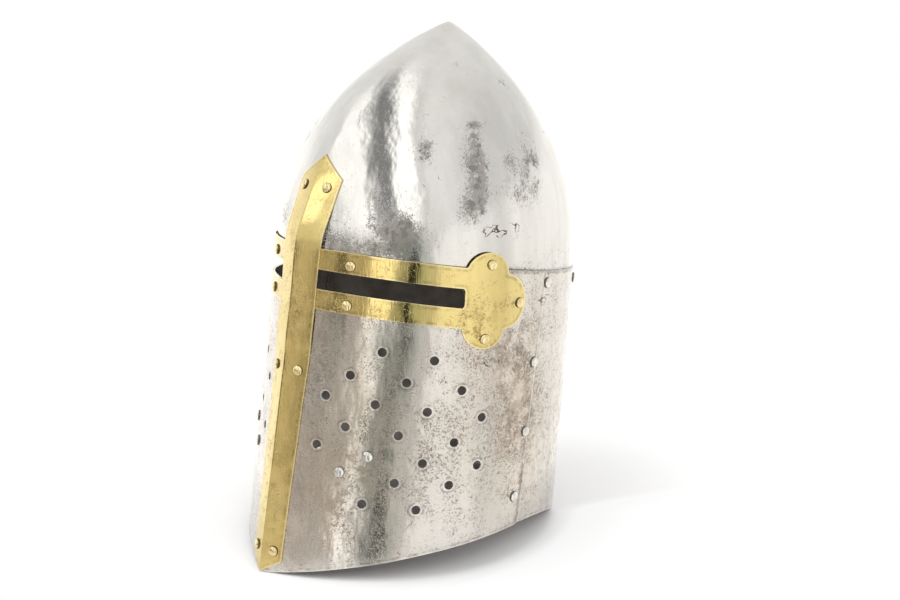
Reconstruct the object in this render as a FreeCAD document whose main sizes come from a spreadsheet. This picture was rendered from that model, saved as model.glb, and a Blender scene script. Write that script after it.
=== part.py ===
import FreeCAD, Part
import os, math
import Sketcher

# Knight helmet (sugarloaf great helm): a raised skull dome, a face plate and a rear plate riveted
# over its lower margin, a brass keel bar, two brass arms round the eye slits, a leather liner and
# a buckled chin strap. Millimetres, +Z up, the face looks along -Y, +X is the wearer's left,
# x = 0 is the mirror plane and z = 0 is the plane the helmet stands on. It leans back a little, so
# its slit, brow line and side seams slope. Shapes are drawn about the head's axis; each finished
# piece is then moved back by origin_shift, to centre the overall box on the origin.
Vector, Rotation, Placement = FreeCAD.Vector, FreeCAD.Rotation, FreeCAD.Placement
UP = Vector(0, 0, 1)
doc = FreeCAD.newDocument("knight_helmet")
sheet = doc.addObject("Spreadsheet::Sheet", "Sheet")

# ---------------------------------------------------------------- driving dimensions
# Endings: _t thickness, _r radius, _w width, _h height, _l length; x, y and z are positions.
DIMENSIONS = dict(
    # base surface: reach in front of, beside and behind the axis at brow and base; keel half angle
    height_top=380.0, brow_z=208.0, apex_y=38.3,
    front_brow=114.5, wide_brow=107.5, rear_brow=138.2, keel_brow=71.7,
    front_base=153.8, wide_base=110.6, rear_base=109.5, keel_base=69.4, side_shift=-14.7,
    # curve handles of the plan sections, as fractions: keel, front and rear of side, back
    plan_keel=0.37, plan_side_front=0.59, plan_side_rear=0.58, plan_back=0.54,
    # curve handles of the dome's front, side and rear profiles, as fractions
    prof_front_low=0.17, prof_front_high=0.84, prof_side_low=0.47, prof_side_high=0.71,
    prof_rear_low=0.55, prof_rear_high=0.07, prof_tip=0.31,
    keel_fade=1.45, soften=30.0, origin_shift=9.63,
    # sheets and the gaps between them
    steel_t=1.4, brass_t=1.0, keel_bar_t=1.2, sheet_gap=0.04, layer_shift=-0.7,
    keel_bar_gap=0.08, leather_t=2.2,
    # sloping planes of the slit and the arm strips, given by their heights at y = 0
    band_slope=-0.18, slit_low=182.93, slit_high=196.54, strip_low=168.43, strip_high=211.45,
    slit_end=-47.5, arm_start=14.5,
    # brow line, front to back
    brow_a_y=-130.0, brow_a_z=233.0, brow_b_y=-50.0, brow_b_z=218.7, brow_c_y=-20.0,
    brow_c_z=216.0, brow_d_y=75.0, brow_d_z=198.3, brow_e_y=160.0, brow_e_z=182.5,
    # side seam, overlaps and the arched lower edge
    seam_y=-11.2, seam_slope=0.196, seam_lap=16.0, dome_lap=29.0,
    arch_y=-10.0, arch_z=23.4, arch_front_r=442.0, arch_rear_r=169.7,
    # trefoil lobes of the arms
    lobe_a_y=-29.8, lobe_a_z=213.2, lobe_a_r=15.4,
    lobe_b_y=-18.0, lobe_b_z=193.0, lobe_b_r=19.2,
    lobe_c_y=-34.8, lobe_c_z=176.8, lobe_c_r=15.3,
    # keel bar outline: half widths and heights, bottom to top
    keel_tip_low=0.0, keel_a_half=15.2, keel_a_z=9.0, keel_b_half=16.0, keel_b_z=60.0,
    keel_c_half=17.2, keel_c_z=115.0, keel_d_half=18.8, keel_d_z=160.0,
    keel_e_half=18.6, keel_e_z=200.0, keel_f_half=19.2, keel_f_z=230.0,
    keel_g_half=20.0, keel_g_z=255.0, keel_h_half=20.5, keel_h_z=276.0, keel_tip_high=291.5,
    # breaths and rivets
    breath_r=3.15, brass_head_r=3.4, brass_head_h=1.6, steel_head_r=3.7, steel_head_h=1.7,
    shank_r=1.6, shank_play=0.06, tail_r=2.6, tail_h=0.9,
    seat_gap=0.14, tail_gap=0.18, washer_gap=0.32,
    washer_r=4.6, washer_t=0.8, leather_play=0.1,
    # liner
    liner_z=196.4, liner_slope=-0.202, liner_height=30.0,
    petal_ring_r=24.0, petal_ring_y=22.0, petal_ring_z=318.0,
    petal_t=1.8, petal_rise=0.45, lace_r=1.5,
    # chin strap, buckle and keeper
    swing_y=-104.0, swing_z=74.0, strap_x=36.0, strap_w=18.0, strap_t=2.0, short_strap_t=1.8,
    strap_gap=2.6, strap_corner=12.0,
    buckle_bar_x=-4.0, buckle_bar_z=15.5, buckle_bar_r=1.2,
    frame_far=16.0, frame_near=-5.2, frame_t=2.4, frame_rail=3.0, frame_w=26.0, frame_corner=1.1,
    prong_w=2.4,
    keeper_x=-16.5, keeper_l=7.0, keeper_t=1.5, keeper_low=12.2, keeper_high=19.35,
)
for row, (alias, value) in enumerate(DIMENSIONS.items(), start=1):
    sheet.set("A%d" % row, alias)
    sheet.set("B%d" % row, repr(value))
    sheet.setAlias("B%d" % row, alias)
doc.recompute()
size = {alias: float(sheet.get(alias)) for alias in DIMENSIONS}


class Linked:
    """A number together with the sheet expression that gives it."""

    def __init__(self, value, text):
        self.value, self.text = value, text

    def __add__(self, other):
        other = linked(other)
        return Linked(self.value + other.value, "(%s + %s)" % (self.text, other.text))

    def __sub__(self, other):
        other = linked(other)
        return Linked(self.value - other.value, "(%s - %s)" % (self.text, other.text))

    def __mul__(self, other):
        other = linked(other)
        return Linked(self.value * other.value, "(%s * %s)" % (self.text, other.text))

    def __neg__(self):
        return Linked(-self.value, "(0 - %s)" % self.text)


def linked(number):
    if isinstance(number, Linked):
        return number
    return Linked(float(number), "(%.6g)" % number)


def dim(alias):
    return Linked(size[alias], "Sheet." + alias)


# ---------------------------------------------------------------- the base surface
# A point on it is given by (u, z): u = 0 at the keel, 1 at the side, 2 at the middle of the back.
def bezier(a, b, c, d, s):
    r = 1.0 - s
    return r * r * r * a + 3 * r * r * s * b + 3 * r * s * s * c + s * s * s * d


def profile(t, low, high):
    """Radius fraction at height fraction t of the dome: upright at the brow, blunt at the apex."""
    if t <= 0:
        return 1.0
    if t >= 1:
        return 0.0
    below, above = 0.0, 1.0
    tip = 1.0 - size["prof_tip"] * high
    for _ in range(36):
        middle = 0.5 * (below + above)
        if bezier(0.0, low, tip, 1.0, middle) < t:
            below = middle
        else:
            above = middle
    return bezier(1.0, 1.0, high, 0.0, 0.5 * (below + above))


def top_of(offset):
    return size["height_top"] + 1.3 * offset


def sharp_station(z, offset):
    """Front, width, rear, side y and keel half angle, before the brow is softened."""
    brow, apex = size["brow_z"], size["apex_y"]
    k = min(z / brow, 1.0)
    t = min(max((z - brow) / (top_of(offset) - brow), 0.0), 1.0)

    def blend(name):
        return size[name + "_base"] + (size[name + "_brow"] - size[name + "_base"]) * k

    keel = blend("keel")
    front = blend("front") + offset / math.sin(math.radians(keel))
    width = blend("wide") + offset
    rear = blend("rear") + offset
    side_y = size["side_shift"] * (1.0 - k)
    front_part, side_part, rear_part = [
        profile(t, size["prof_%s_low" % way], size["prof_%s_high" % way])
        for way in ("front", "side", "rear")]
    return ((front + apex) * front_part - apex, width * side_part,
            (rear - apex) * rear_part + apex, apex + (side_y - apex) * side_part,
            keel + (90.0 - keel) * t ** size["keel_fade"])


station_cache = {}


def station(z, offset):
    """Section sizes at height z, averaged over nearby heights around the brow."""
    key = (round(z, 4), round(offset, 4))
    if key not in station_cache:
        soften = size["soften"]
        reach = soften * max(0.0, 1.0 - abs(z - size["brow_z"]) / (2.0 * soften))
        if reach < 0.5:
            station_cache[key] = sharp_station(z, offset)
        else:
            sums, total = [0.0] * 5, 0.0
            for i in range(-4, 5):
                weight = 1.0 - abs(i) / 5.0
                sample = sharp_station(z + reach * i / 5.0, offset)
                sums = [a + weight * b for a, b in zip(sums, sample)]
                total += weight
            station_cache[key] = tuple(a / total for a in sums)
    return station_cache[key]


def point(u, z, offset):
    """Point of the +X half on the surface that lies offset outside the base surface."""
    front, width, rear, side_y, keel = station(z, offset)
    if u <= 1.0:
        slope = math.cos(math.radians(keel)) / math.sin(math.radians(keel))
        handle = size["plan_keel"] * width
        x = bezier(0.0, handle, width, width, u)
        y = bezier(-front, -front + slope * handle,
                   side_y - size["plan_side_front"] * (side_y + front), side_y, u)
    else:
        x = bezier(width, width, size["plan_back"] * width, 0.0, u - 1.0)
        y = bezier(side_y, side_y + size["plan_side_rear"] * (rear - side_y), rear, rear, u - 1.0)
    return Vector(x, y, z)


def normal(u, z):
    """Outward normal of the +X half."""
    step = 1e-3
    around = point(min(u + step, 2.0), z, 0.0) - point(max(u - step, 0.0), z, 0.0)
    upward = point(u, z + 0.2, 0.0) - point(u, z - 0.2, 0.0)
    n = around.cross(upward)
    n.normalize()
    if n.dot(Vector(math.sin(u * math.pi / 2), -math.cos(u * math.pi / 2), 0.2)) < 0:
        n = n * -1.0
    return n


def on_side(vector, side):
    """The vector itself for side 1 (left), its mirror image for side -1 (right)."""
    return Vector(vector.x * side, vector.y, vector.z)


def place_on(spot, side):
    return on_side(point(*spot, 0.0), side), on_side(normal(*spot), side)


def along(spot, offset):
    """Distance along the true normal from the base surface to the surface at offset."""
    return (point(*spot, offset) - point(*spot, 0.0)).dot(normal(*spot))


# ---------------------------------------------------------------- layers, as offsets outward
STEEL, GAP = size["steel_t"], size["sheet_gap"]
dome_out = size["layer_shift"]
dome_in = dome_out - STEEL
rear_in = dome_out + GAP
rear_out = rear_in + STEEL
band_out = dome_in - size["leather_play"]
band_in = band_out - size["leather_t"]
tab_out = rear_in - size["leather_play"]
tab_in = tab_out - size["leather_t"]


def smooth(start, end, x):
    t = min(max((x - start) / (end - start), 0.0), 1.0)
    return t * t * (3.0 - 2.0 * t)


def face_in(u, z):
    """The face plate rises towards the side, to pass over the rear plate."""
    return rear_in + (STEEL + GAP) * smooth(0.60, 0.94, u)


def face_out(u, z):
    return face_in(u, z) + STEEL


def arm_in(u, z):
    return face_out(u, z) + GAP


def arm_out(u, z):
    return arm_in(u, z) + size["brass_t"]


def keel_bar_in(u, z):
    """The keel bar steps out around the slit's height and settles on the dome above the brow."""
    base = dome_out + 2 * GAP + STEEL + size["keel_bar_gap"]
    settle = smooth(234.0, 262.0, z)
    bump = (size["brass_t"] + GAP) * smooth(150.0, 174.0, z) * (1.0 - settle)
    return base + bump - (STEEL + GAP * 0.5) * settle


def keel_bar_out(u, z):
    return keel_bar_in(u, z) + size["keel_bar_t"]


def constant(offset):
    return lambda u, z: offset


# ---------------------------------------------------------------- solid forms inside each layer
# u positions and heights at which the forms are sampled
SAMPLE_U = [0.0, 0.03, 0.07, 0.12, 0.18, 0.25, 0.32, 0.4, 0.48, 0.56, 0.64, 0.72, 0.78, 0.82, 0.86,
            0.9, 0.94, 0.98, 1.04, 1.12, 1.2, 1.3, 1.4, 1.5, 1.6, 1.7, 1.8, 1.9, 2.0]
RAMP_TOP = 130.0
SAMPLE_Z = [RAMP_TOP, 140.0, 150.0, 158.0, 166.0, 174.0, 183.0, 192.0, 200.0, 208.0, 216.0, 225.0,
            234.0, 242.0, 250.0, 258.0, 268.0, 281.0, 296.0, 310.0, 323.0, 335.0, 345.0, 354.0,
            361.5, 367.5, 372.0]


def form_heights(low, high, offset):
    """Sample heights from low to high, or almost to the apex when high is None."""
    heights = [low + (RAMP_TOP - low) * i / 6.0 for i in range(6)] + SAMPLE_Z
    if high is None:
        top = top_of(offset(0.0, 400.0))
        return [low] + [z for z in heights if low + 4 < z < top - 3.5] + [top - 1.6]
    return [low] + [z for z in heights if low + 3 < z < high - 3] + [high]


def closed_solid(faces):
    shell = Part.Shell(faces)
    shell.sewShape()
    solid = Part.Solid(shell)
    if solid.Volume < 0:
        solid.reverse()
    return solid


def surface_through(grid):
    surface = Part.BSplineSurface()
    surface.interpolate(grid)
    return surface


def plug(heights, offset):
    """Closed solid inside the surface offset(u, z), between the first and the last height."""
    rows = [[point(u, z, offset(u, z)) for z in heights] for u in SAMPLE_U]
    left = surface_through(rows)
    right = surface_through([[on_side(p, -1) for p in row] for row in rows])
    faces = [left.toShape(), right.toShape()]
    for v in left.bounds()[2:]:
        faces.append(Part.Face(Part.Wire([left.vIso(v).toShape(), right.vIso(v).toShape()])))
    solid = closed_solid(faces)
    if not solid.isValid():
        solid.fix(1e-4, 1e-4, 1e-3)
    return solid


def feature(name, shape):
    created = doc.addObject("Part::Feature", name)
    created.Shape = shape
    return created


# name, offset, lowest height, highest height (None for a closed dome)
FORMS = [
    ("dome_outer", constant(dome_out), 120.0, None),
    ("dome_inner", constant(dome_in), 116.0, None),
    ("rear_outer", constant(rear_out), 0.0, 252.0),
    ("rear_inner", constant(rear_in), -4.0, 256.0),
    ("face_outer", face_out, 0.0, 252.0),
    ("face_inner", face_in, -4.0, 256.0),
    ("arm_outer", arm_out, 130.0, 252.0),
    ("arm_inner", arm_in, 126.0, 256.0),
    ("bar_outer", keel_bar_out, 0.0, 345.0),
    ("bar_inner", keel_bar_in, -4.0, 350.0),
    ("band_outer", constant(band_out), 140.0, 262.0),
    ("band_inner", constant(band_in), 136.0, 266.0),
]
forms = {}
for name, offset, low, high in FORMS:
    forms[name] = feature(name + "_form", plug(form_heights(low, high, offset), offset))


# ---------------------------------------------------------------- document helpers
def pin_point(sketch, geometry, position, x, y):
    """Fix a sketch point at x, y from the sketch origin, bound to the sheet."""
    for kind, axis, place in (("DistanceX", -2, x), ("DistanceY", -1, y)):
        place = linked(place)
        if place.text == "(0)":
            sketch.addConstraint(
                Sketcher.Constraint("PointOnObject", geometry, position, axis))
            continue
        index = sketch.addConstraint(
            Sketcher.Constraint(kind, -1, 1, geometry, position, place.value))
        sketch.setExpression("Constraints[%d]" % index, place.text)


def outline_sketch(body, name, plane, points, level):
    """Closed outline in an origin plane, shifted to level along the axis across that plane."""
    sketch = body.newObject("Sketcher::SketchObject", name)
    support = [item for item in body.Origin.OriginFeatures if item.Role == plane][0]
    sketch.AttachmentSupport = [(support, "")]
    sketch.MapMode = "FlatFace"
    count = len(points)
    corners = [Vector(linked(x).value, linked(y).value, 0) for x, y in points]
    for i in range(count):
        sketch.addGeometry(Part.LineSegment(corners[i], corners[(i + 1) % count]), False)
    for i in range(count):
        sketch.addConstraint(Sketcher.Constraint("Coincident", i, 2, (i + 1) % count, 1))
    for i, (x, y) in enumerate(points):
        pin_point(sketch, i, 1, x, y)
    # the XZ plane's normal is -Y
    level = -linked(level) if plane == "XZ_Plane" else linked(level)
    sketch.setExpression(".AttachmentOffset.Base.z", level.text)
    return sketch


def extrusion(body, kind, name, sketch, length, backward=False):
    """A Pad or a Pocket of the sketch."""
    made = body.newObject("PartDesign::" + kind, name)
    made.Profile = sketch
    made.setExpression("Length", linked(length).text)
    made.Reversed = backward
    doc.recompute()
    return made


SPAN = 150.0  # half width that clears the whole helmet


def region(name, points, start=-SPAN, length=2 * SPAN, plane="YZ_Plane"):
    """Body padded from start, along +X (YZ outline) or +Y (XZ outline)."""
    body = doc.addObject("PartDesign::Body", name)
    sketch = outline_sketch(body, name + "_sketch", plane, points, start)
    extrusion(body, "Pad", name + "_pad", sketch, length, backward=plane == "XZ_Plane")
    return body


def cut(name, base, tool):
    made = doc.addObject("Part::Cut", name)
    made.Base, made.Tool = base, tool
    return made


def common(name, base, tool):
    made = doc.addObject("Part::Common", name)
    made.Base, made.Tool = base, tool
    return made


def mirrored(name, source):
    made = doc.addObject("Part::Mirroring", name)
    made.Source, made.Normal, made.Base = source, Vector(1, 0, 0), Vector(0, 0, 0)
    return made


def x_cylinder(name, y, z, radius, start=-SPAN, length=2 * SPAN):
    """Cylinder along X."""
    made = doc.addObject("Part::Cylinder", name)
    made.Placement = Placement(Vector(0, 0, 0), Rotation(Vector(0, 1, 0), 90))
    for target, number in (("Radius", radius), ("Height", length), (".Placement.Base.x", start),
                           (".Placement.Base.y", y), (".Placement.Base.z", z)):
        made.setExpression(target, linked(number).text)
    return made


def trimmed_sheet(name, area):
    """The sheet between a layer's outer and inner forms, kept where it lies in the region."""
    raw = cut(name + "_raw", forms[name + "_outer"], forms[name + "_inner"])
    return common(name + "_trim", raw, area)


def band_z(alias, y):
    """Height of one of the sloping slit and strip planes at depth y."""
    return dim(alias) + dim("band_slope") * y


def seam_line(z):
    return dim("seam_y") + dim("seam_slope") * z


def liner_edge(y):
    return dim("liner_z") + dim("liner_slope") * y


def brow(letter):
    return dim("brow_%s_y" % letter), dim("brow_%s_z" % letter)


# ---------------------------------------------------------------- holes and rivets, as (u, z)
BREATHS = [
    (0.447, 162.0), (0.651, 156.0), (0.328, 145.3), (0.552, 141.1), (0.765, 133.8),
    (0.231, 130.0), (0.440, 125.7), (0.640, 120.2), (0.851, 112.5), (0.329, 109.2),
    (0.539, 104.2), (0.750, 97.1), (0.214, 95.3), (0.638, 83.9), (0.844, 78.1),
    (0.540, 70.6), (0.742, 66.7), (0.425, 55.6), (0.628, 50.8)]
KEEL_TOP, *KEEL_LOWER = [(0.098, 270.3), (0.089, 145.5), (0.068, 16.3)]
ARM_UPPER, ARM_LOWER = (0.288, 220.0), (0.284, 193.0)
ARM_TOP, ARM_MID, ARM_BOTTOM = (0.854, 220.0), (0.981, 190.2), (0.838, 168.8)
SEAM_TOP = (1.129, 197.9)
SEAM = [(1.076, 142.4), (1.048, 92.6), (1.009, 45.9)]
BROW = [(1.486, 185.6), (1.78, 178.6)]
CHIN = [(0.430, 89.4), (0.323, 77.4)]
LINER = [ARM_UPPER, ARM_TOP, SEAM_TOP] + BROW
BOTH = (1, -1)
SIDES = ((1, "left"), (-1, "right"))
DRILL_REACH = 9.0
hole_r = size["shank_r"] + size["shank_play"]


def drill(spots, radius=hole_r, sides=BOTH):
    """Cylinders square to the surface at the spots."""
    bits = []
    for spot in spots:
        for side in sides:
            p, n = place_on(spot, side)
            bits.append(Part.makeCylinder(radius, 2 * DRILL_REACH, p + n * -DRILL_REACH, n))
    return Part.makeCompound(bits)


# ---------------------------------------------------------------- skull dome
slit_end = dim("slit_end")
slit_end_low, slit_end_high = band_z("slit_low", slit_end), band_z("slit_high", slit_end)
dome_region = region("dome_region", [
    (-170, band_z("slit_high", -170) + 0.2),
    (slit_end, slit_end_high + 0.2),
    (slit_end, dim("brow_c_z") + 5.2 - dim("dome_lap")),
    (dim("brow_c_y"), dim("brow_c_z") - dim("dome_lap")),
    (dim("brow_d_y"), dim("brow_d_z") - dim("dome_lap")),
    (dim("brow_e_y"), dim("brow_e_z") - dim("dome_lap")),
    (160, 390), (-170, 390)])
dome_trim = trimmed_sheet("dome", dome_region)
dome_drill = feature("dome_drill", drill([KEEL_TOP, ARM_UPPER, ARM_TOP, ARM_MID, SEAM_TOP] + BROW))
cut("skull_dome", dome_trim, dome_drill)

# ---------------------------------------------------------------- face plate
face_region = region("face_region", [
    (-175, -6), (seam_line(-6), -6), (seam_line(209.6), 209.6),
    brow("c"), brow("b"), brow("a"), (-175, dim("brow_a_z"))])
# eye slit of the left side, with a blunted rear end
slit_left = region("slit_region", [
    (-175, band_z("slit_low", -175)),
    (slit_end - 1.2, slit_end_low),
    (slit_end, slit_end_low + 1.6),
    (slit_end + 1.0, slit_end_high - 1.6),
    (slit_end + 0.2, slit_end_high),
    (-175, band_z("slit_high", -175))], dim("arm_start") + 1.0, SPAN)
slit_right = mirrored("slit_region_right", slit_left)
arch_front, arch_rear = [
    x_cylinder(name, dim("arch_y"), dim("arch_z") - dim(name + "_r"), dim(name + "_r"))
    for name in ("arch_front", "arch_rear")]
face_trim = trimmed_sheet("face", face_region)
breath_drill = feature("breath_drill", drill(BREATHS, size["breath_r"]))
face_rivet_drill = feature("face_rivet_drill", drill(
    KEEL_LOWER + [ARM_UPPER, ARM_LOWER, ARM_MID, ARM_BOTTOM, SEAM_TOP] + SEAM + CHIN))
face_cut = face_trim
for name, tool in (("face_slit_left", slit_left), ("face_slit_right", slit_right),
                   ("face_arch", arch_front), ("face_breath", breath_drill),
                   ("face_plate", face_rivet_drill)):
    face_cut = cut(name, face_cut, tool)

# ---------------------------------------------------------------- rear plate
rear_region = region("rear_region", [
    (seam_line(-6) - dim("seam_lap"), -6), (165, -6), brow("e"), brow("d"),
    (seam_line(212.4) - dim("seam_lap"), 212.4)])
rear_arch = cut("rear_arch", trimmed_sheet("rear", rear_region), arch_rear)
cut("rear_plate", rear_arch, feature("rear_drill", drill([SEAM_TOP] + SEAM + BROW)))

# ---------------------------------------------------------------- brass arms
arm_strips = region("arm_strips", [
    (-130, band_z("strip_low", -130)), (-50, band_z("strip_low", -50)),
    (-34, 164), (-18, 176), (-15, 200), (-30, 220),
    (-44.6, band_z("strip_high", -44.6)), (-130, band_z("strip_high", -130))],
    dim("arm_start"), SPAN)
lobes = [x_cylinder(name, dim(name + "_y"), dim(name + "_z"), dim(name + "_r"), 60, 90)
         for name in ("lobe_a", "lobe_b", "lobe_c")]
arm_outline = doc.addObject("Part::MultiFuse", "arm_outline")
arm_outline.Shapes = [arm_strips] + lobes
arm_trim = trimmed_sheet("arm", cut("arm_outline_slit", arm_outline, slit_left))
arm_drill = feature("arm_drill", drill(
    [ARM_UPPER, ARM_LOWER, ARM_TOP, ARM_MID, ARM_BOTTOM], sides=(1,)))
mirrored("brass_arm_right", cut("brass_arm_left", arm_trim, arm_drill))

# ---------------------------------------------------------------- brass keel bar
keel_edge = [(dim("keel_%s_half" % k), dim("keel_%s_z" % k)) for k in "abcdefgh"]
keel_outline = [(0, dim("keel_tip_low") - 0.5)] + keel_edge + [(0, dim("keel_tip_high"))]
keel_outline += [(-half, z) for half, z in keel_edge[::-1]]
bar_region = region("bar_region", keel_outline, -190, 170, plane="XZ_Plane")
bar_trim = trimmed_sheet("bar", bar_region)
cut("keel_bar", bar_trim, feature("bar_drill", drill([KEEL_TOP] + KEEL_LOWER)))

# ---------------------------------------------------------------- liner band
band_region = region("band_region", [
    (-140, liner_edge(-140)), (160, liner_edge(160)),
    (160, liner_edge(160) + dim("liner_height")),
    (-140, liner_edge(-140) + dim("liner_height"))])
band_trim = trimmed_sheet("band", band_region)
cut("liner_band", band_trim, feature("band_drill", drill(LINER)))
doc.recompute()

# names of the exported pieces; add_part appends to them
PARTS = ["skull_dome", "face_plate", "rear_plate", "keel_bar", "brass_arm_left",
         "brass_arm_right", "liner_band", "liner_lace", "buckle_frame", "buckle_prong",
         "strap_keeper"]


def add_part(name, solids):
    feature(name, solids[0] if len(solids) == 1 else Part.makeCompound(solids))
    PARTS.append(name)


# ---------------------------------------------------------------- rivets and washers
def rivet(spot, side, outer, inner, metal, washer_t=0.0):
    """Domed head outside, shank through the sheets, peened tail inside."""
    head_r, head_h = size[metal + "_head_r"], size[metal + "_head_h"]
    shank_r, tail_r, tail_h = size["shank_r"], size["tail_r"], size["tail_h"]
    inner_gap = size["washer_gap"] + washer_t if washer_t else size["tail_gap"]
    seat = along(spot, outer) + size["seat_gap"]
    clinch = along(spot, inner) - inner_gap
    grip = seat - clinch
    ball_r = (head_r * head_r + head_h * head_h) / (2.0 * head_h)
    cap = Part.makeSphere(ball_r, Vector(0, 0, seat + head_h - ball_r), UP,
                          math.degrees(math.asin((ball_r - head_h) / ball_r)), 90, 360)
    tail_mid = Vector(0, 0, clinch - tail_h * 0.5)
    shank = Part.makeCylinder(shank_r, grip + tail_h, tail_mid, UP)
    # the shank ends 0.2 inside the head
    shank = shank.common(Part.makeCylinder(shank_r, grip + tail_h * 0.5 + 0.2, tail_mid, UP))
    tail = Part.makeCylinder(tail_r, tail_h * 0.5, tail_mid, UP).fuse(
        Part.makeCone(tail_r * 0.6, tail_r, tail_h * 0.5, Vector(0, 0, clinch - tail_h), UP))
    solid = cap.fuse(shank).fuse(tail).removeSplitter().Solids[0]
    p, n = place_on(spot, side)
    solid.Placement = Placement(p, Rotation(UP, n))
    return solid


def washer(spot, side, inner):
    p, n = place_on(spot, side)
    outward = along(spot, inner) - size["washer_gap"] + 0.02
    inward = outward - (size["washer_t"] - 0.04)
    radial = UP.cross(n)
    radial.normalize()
    section = [(hole_r, inward), (size["washer_r"], inward),
               (size["washer_r"], outward), (hole_r, outward), (hole_r, inward)]
    outline = Part.makePolygon([p + radial * r + n * level for r, level in section])
    return Part.Face(outline).revolve(p, n, 360)


WASHER = size["washer_t"]
keel_rivets = []
for side in BOTH:
    for spot, inner in [(KEEL_TOP, dome_in)] + [(spot, face_in(0, 0)) for spot in KEEL_LOWER]:
        keel_rivets.append(rivet(spot, side, keel_bar_out(0, spot[1]), inner, "brass"))
add_part("keel_bar_rivets", keel_rivets)

# spot, offset of the innermost layer, washer thickness
ARM_RIVETS = [
    (ARM_UPPER, band_in, WASHER), (ARM_LOWER, face_in(*ARM_LOWER), 0.0),
    (ARM_TOP, band_in, WASHER), (ARM_MID, dome_in, 0.0), (ARM_BOTTOM, face_in(*ARM_BOTTOM), 0.0)]
SEAM_RIVETS = [(SEAM_TOP, band_in, WASHER)] + [(spot, rear_in, 0.0) for spot in SEAM]
CHIN_RIVETS = [(spot, tab_in, WASHER) for spot in CHIN]
for side, tag in SIDES:
    for group, rows, outer_of, metal in (("arm", ARM_RIVETS, arm_out, "brass"),
                                         ("seam", SEAM_RIVETS, face_out, "steel"),
                                         ("chin", CHIN_RIVETS, face_out, "steel")):
        add_part("%s_rivets_%s" % (group, tag), [
            rivet(spot, side, outer_of(*spot), inner, metal, washer_t)
            for spot, inner, washer_t in rows])
add_part("brow_rivets", [rivet(spot, side, rear_out, band_in, "steel", WASHER)
                         for spot in BROW for side in BOTH])
add_part("liner_washers", [washer(spot, side, band_in) for spot in LINER for side in BOTH])
add_part("chin_washers", [washer(spot, side, tab_in) for spot in CHIN for side in BOTH])


def slab(outer_grid, inner_grid):
    """Closed solid between two equal grids of points."""
    outer, inner = surface_through(outer_grid), surface_through(inner_grid)
    faces = [outer.toShape(), inner.toShape()]
    outer_ends, inner_ends = outer.bounds(), inner.bounds()
    rims = [(outer.uIso(outer_ends[i]), inner.uIso(inner_ends[i])) for i in (0, 1)]
    rims += [(outer.vIso(outer_ends[i]), inner.vIso(inner_ends[i])) for i in (2, 3)]
    for outer_rim, inner_rim in rims:
        faces.append(Part.makeRuledSurface(outer_rim.toShape(), inner_rim.toShape()))
    return closed_solid(faces)


# ---------------------------------------------------------------- chin strap tabs
TAB_LENGTH = 44.0


def chin_tab(side):
    """Leather patch inside the cheek, running along the line of the two chin rivets."""
    (u_a, z_a), (u_b, z_b) = CHIN
    u_mid, z_mid = 0.5 * (u_a + u_b), 0.5 * (z_a + z_b)
    step = 1e-3
    per_u = (point(u_mid + step, z_mid, 0) - point(u_mid - step, z_mid, 0)) * (0.5 / step)
    per_z = point(u_mid, z_mid + 0.5, 0) - point(u_mid, z_mid - 0.5, 0)
    run = point(u_b, z_b, 0.0) - point(u_a, z_a, 0.0)
    run.normalize()
    across = normal(u_mid, z_mid).cross(run)
    across.normalize()
    uu, uz, zz = per_u.dot(per_u), per_u.dot(per_z), per_z.dot(per_z)
    determinant = uu * zz - uz * uz

    def surface_spot(a, b):
        """(u, z) at a along and b across the tab, solved in the tangent plane."""
        target = run * a + across * b
        on_u, on_z = target.dot(per_u), target.dot(per_z)
        return (u_mid + (on_u * zz - on_z * uz) / determinant,
                z_mid + (on_z * uu - on_u * uz) / determinant)

    def grid(offset):
        return [[on_side(point(*surface_spot(-TAB_LENGTH / 2 + TAB_LENGTH * i / 6.0,
                                             (-0.5 + j / 3.0) * size["strap_w"]), offset), side)
                 for j in range(4)] for i in range(7)]

    return slab(grid(tab_out), grid(tab_in)).cut(drill(CHIN, sides=(side,)))


for side, tag in SIDES:
    add_part("chin_tab_" + tag, [chin_tab(side)])

# ---------------------------------------------------------------- liner petals and lace
PETALS = 8
PETAL_HALF_ANGLE = math.radians(20.5)
LINER_MID_Y = 14.0     # middle of the liner, from which the petals' directions are taken
PETAL_OVERLAP = 6.0    # how far a petal's foot lies below the band's upper edge
EYELET_R = 2.4
EYELET_INSET = 7.0     # eyelet's distance outside the ring of petal tips


def band_top_point(angle):
    """Point just inside the liner band near its upper edge, in the direction angle."""
    offset = band_in - size["petal_rise"]
    low, high = 0.0, 2.0
    side = 1 if math.cos(angle) >= 0 else -1
    wanted = math.atan2(math.sin(angle), abs(math.cos(angle)))
    for _ in range(40):
        middle = 0.5 * (low + high)
        z = 215.0
        for _ in range(6):
            p = point(middle, z, offset)
            z = (size["liner_z"] + size["liner_slope"] * p.y + size["liner_height"]
                 - PETAL_OVERLAP)
        if math.atan2(p.y - LINER_MID_Y, p.x) < wanted:
            low = middle
        else:
            high = middle
    return Vector(p.x * side, p.y, z)


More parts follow.
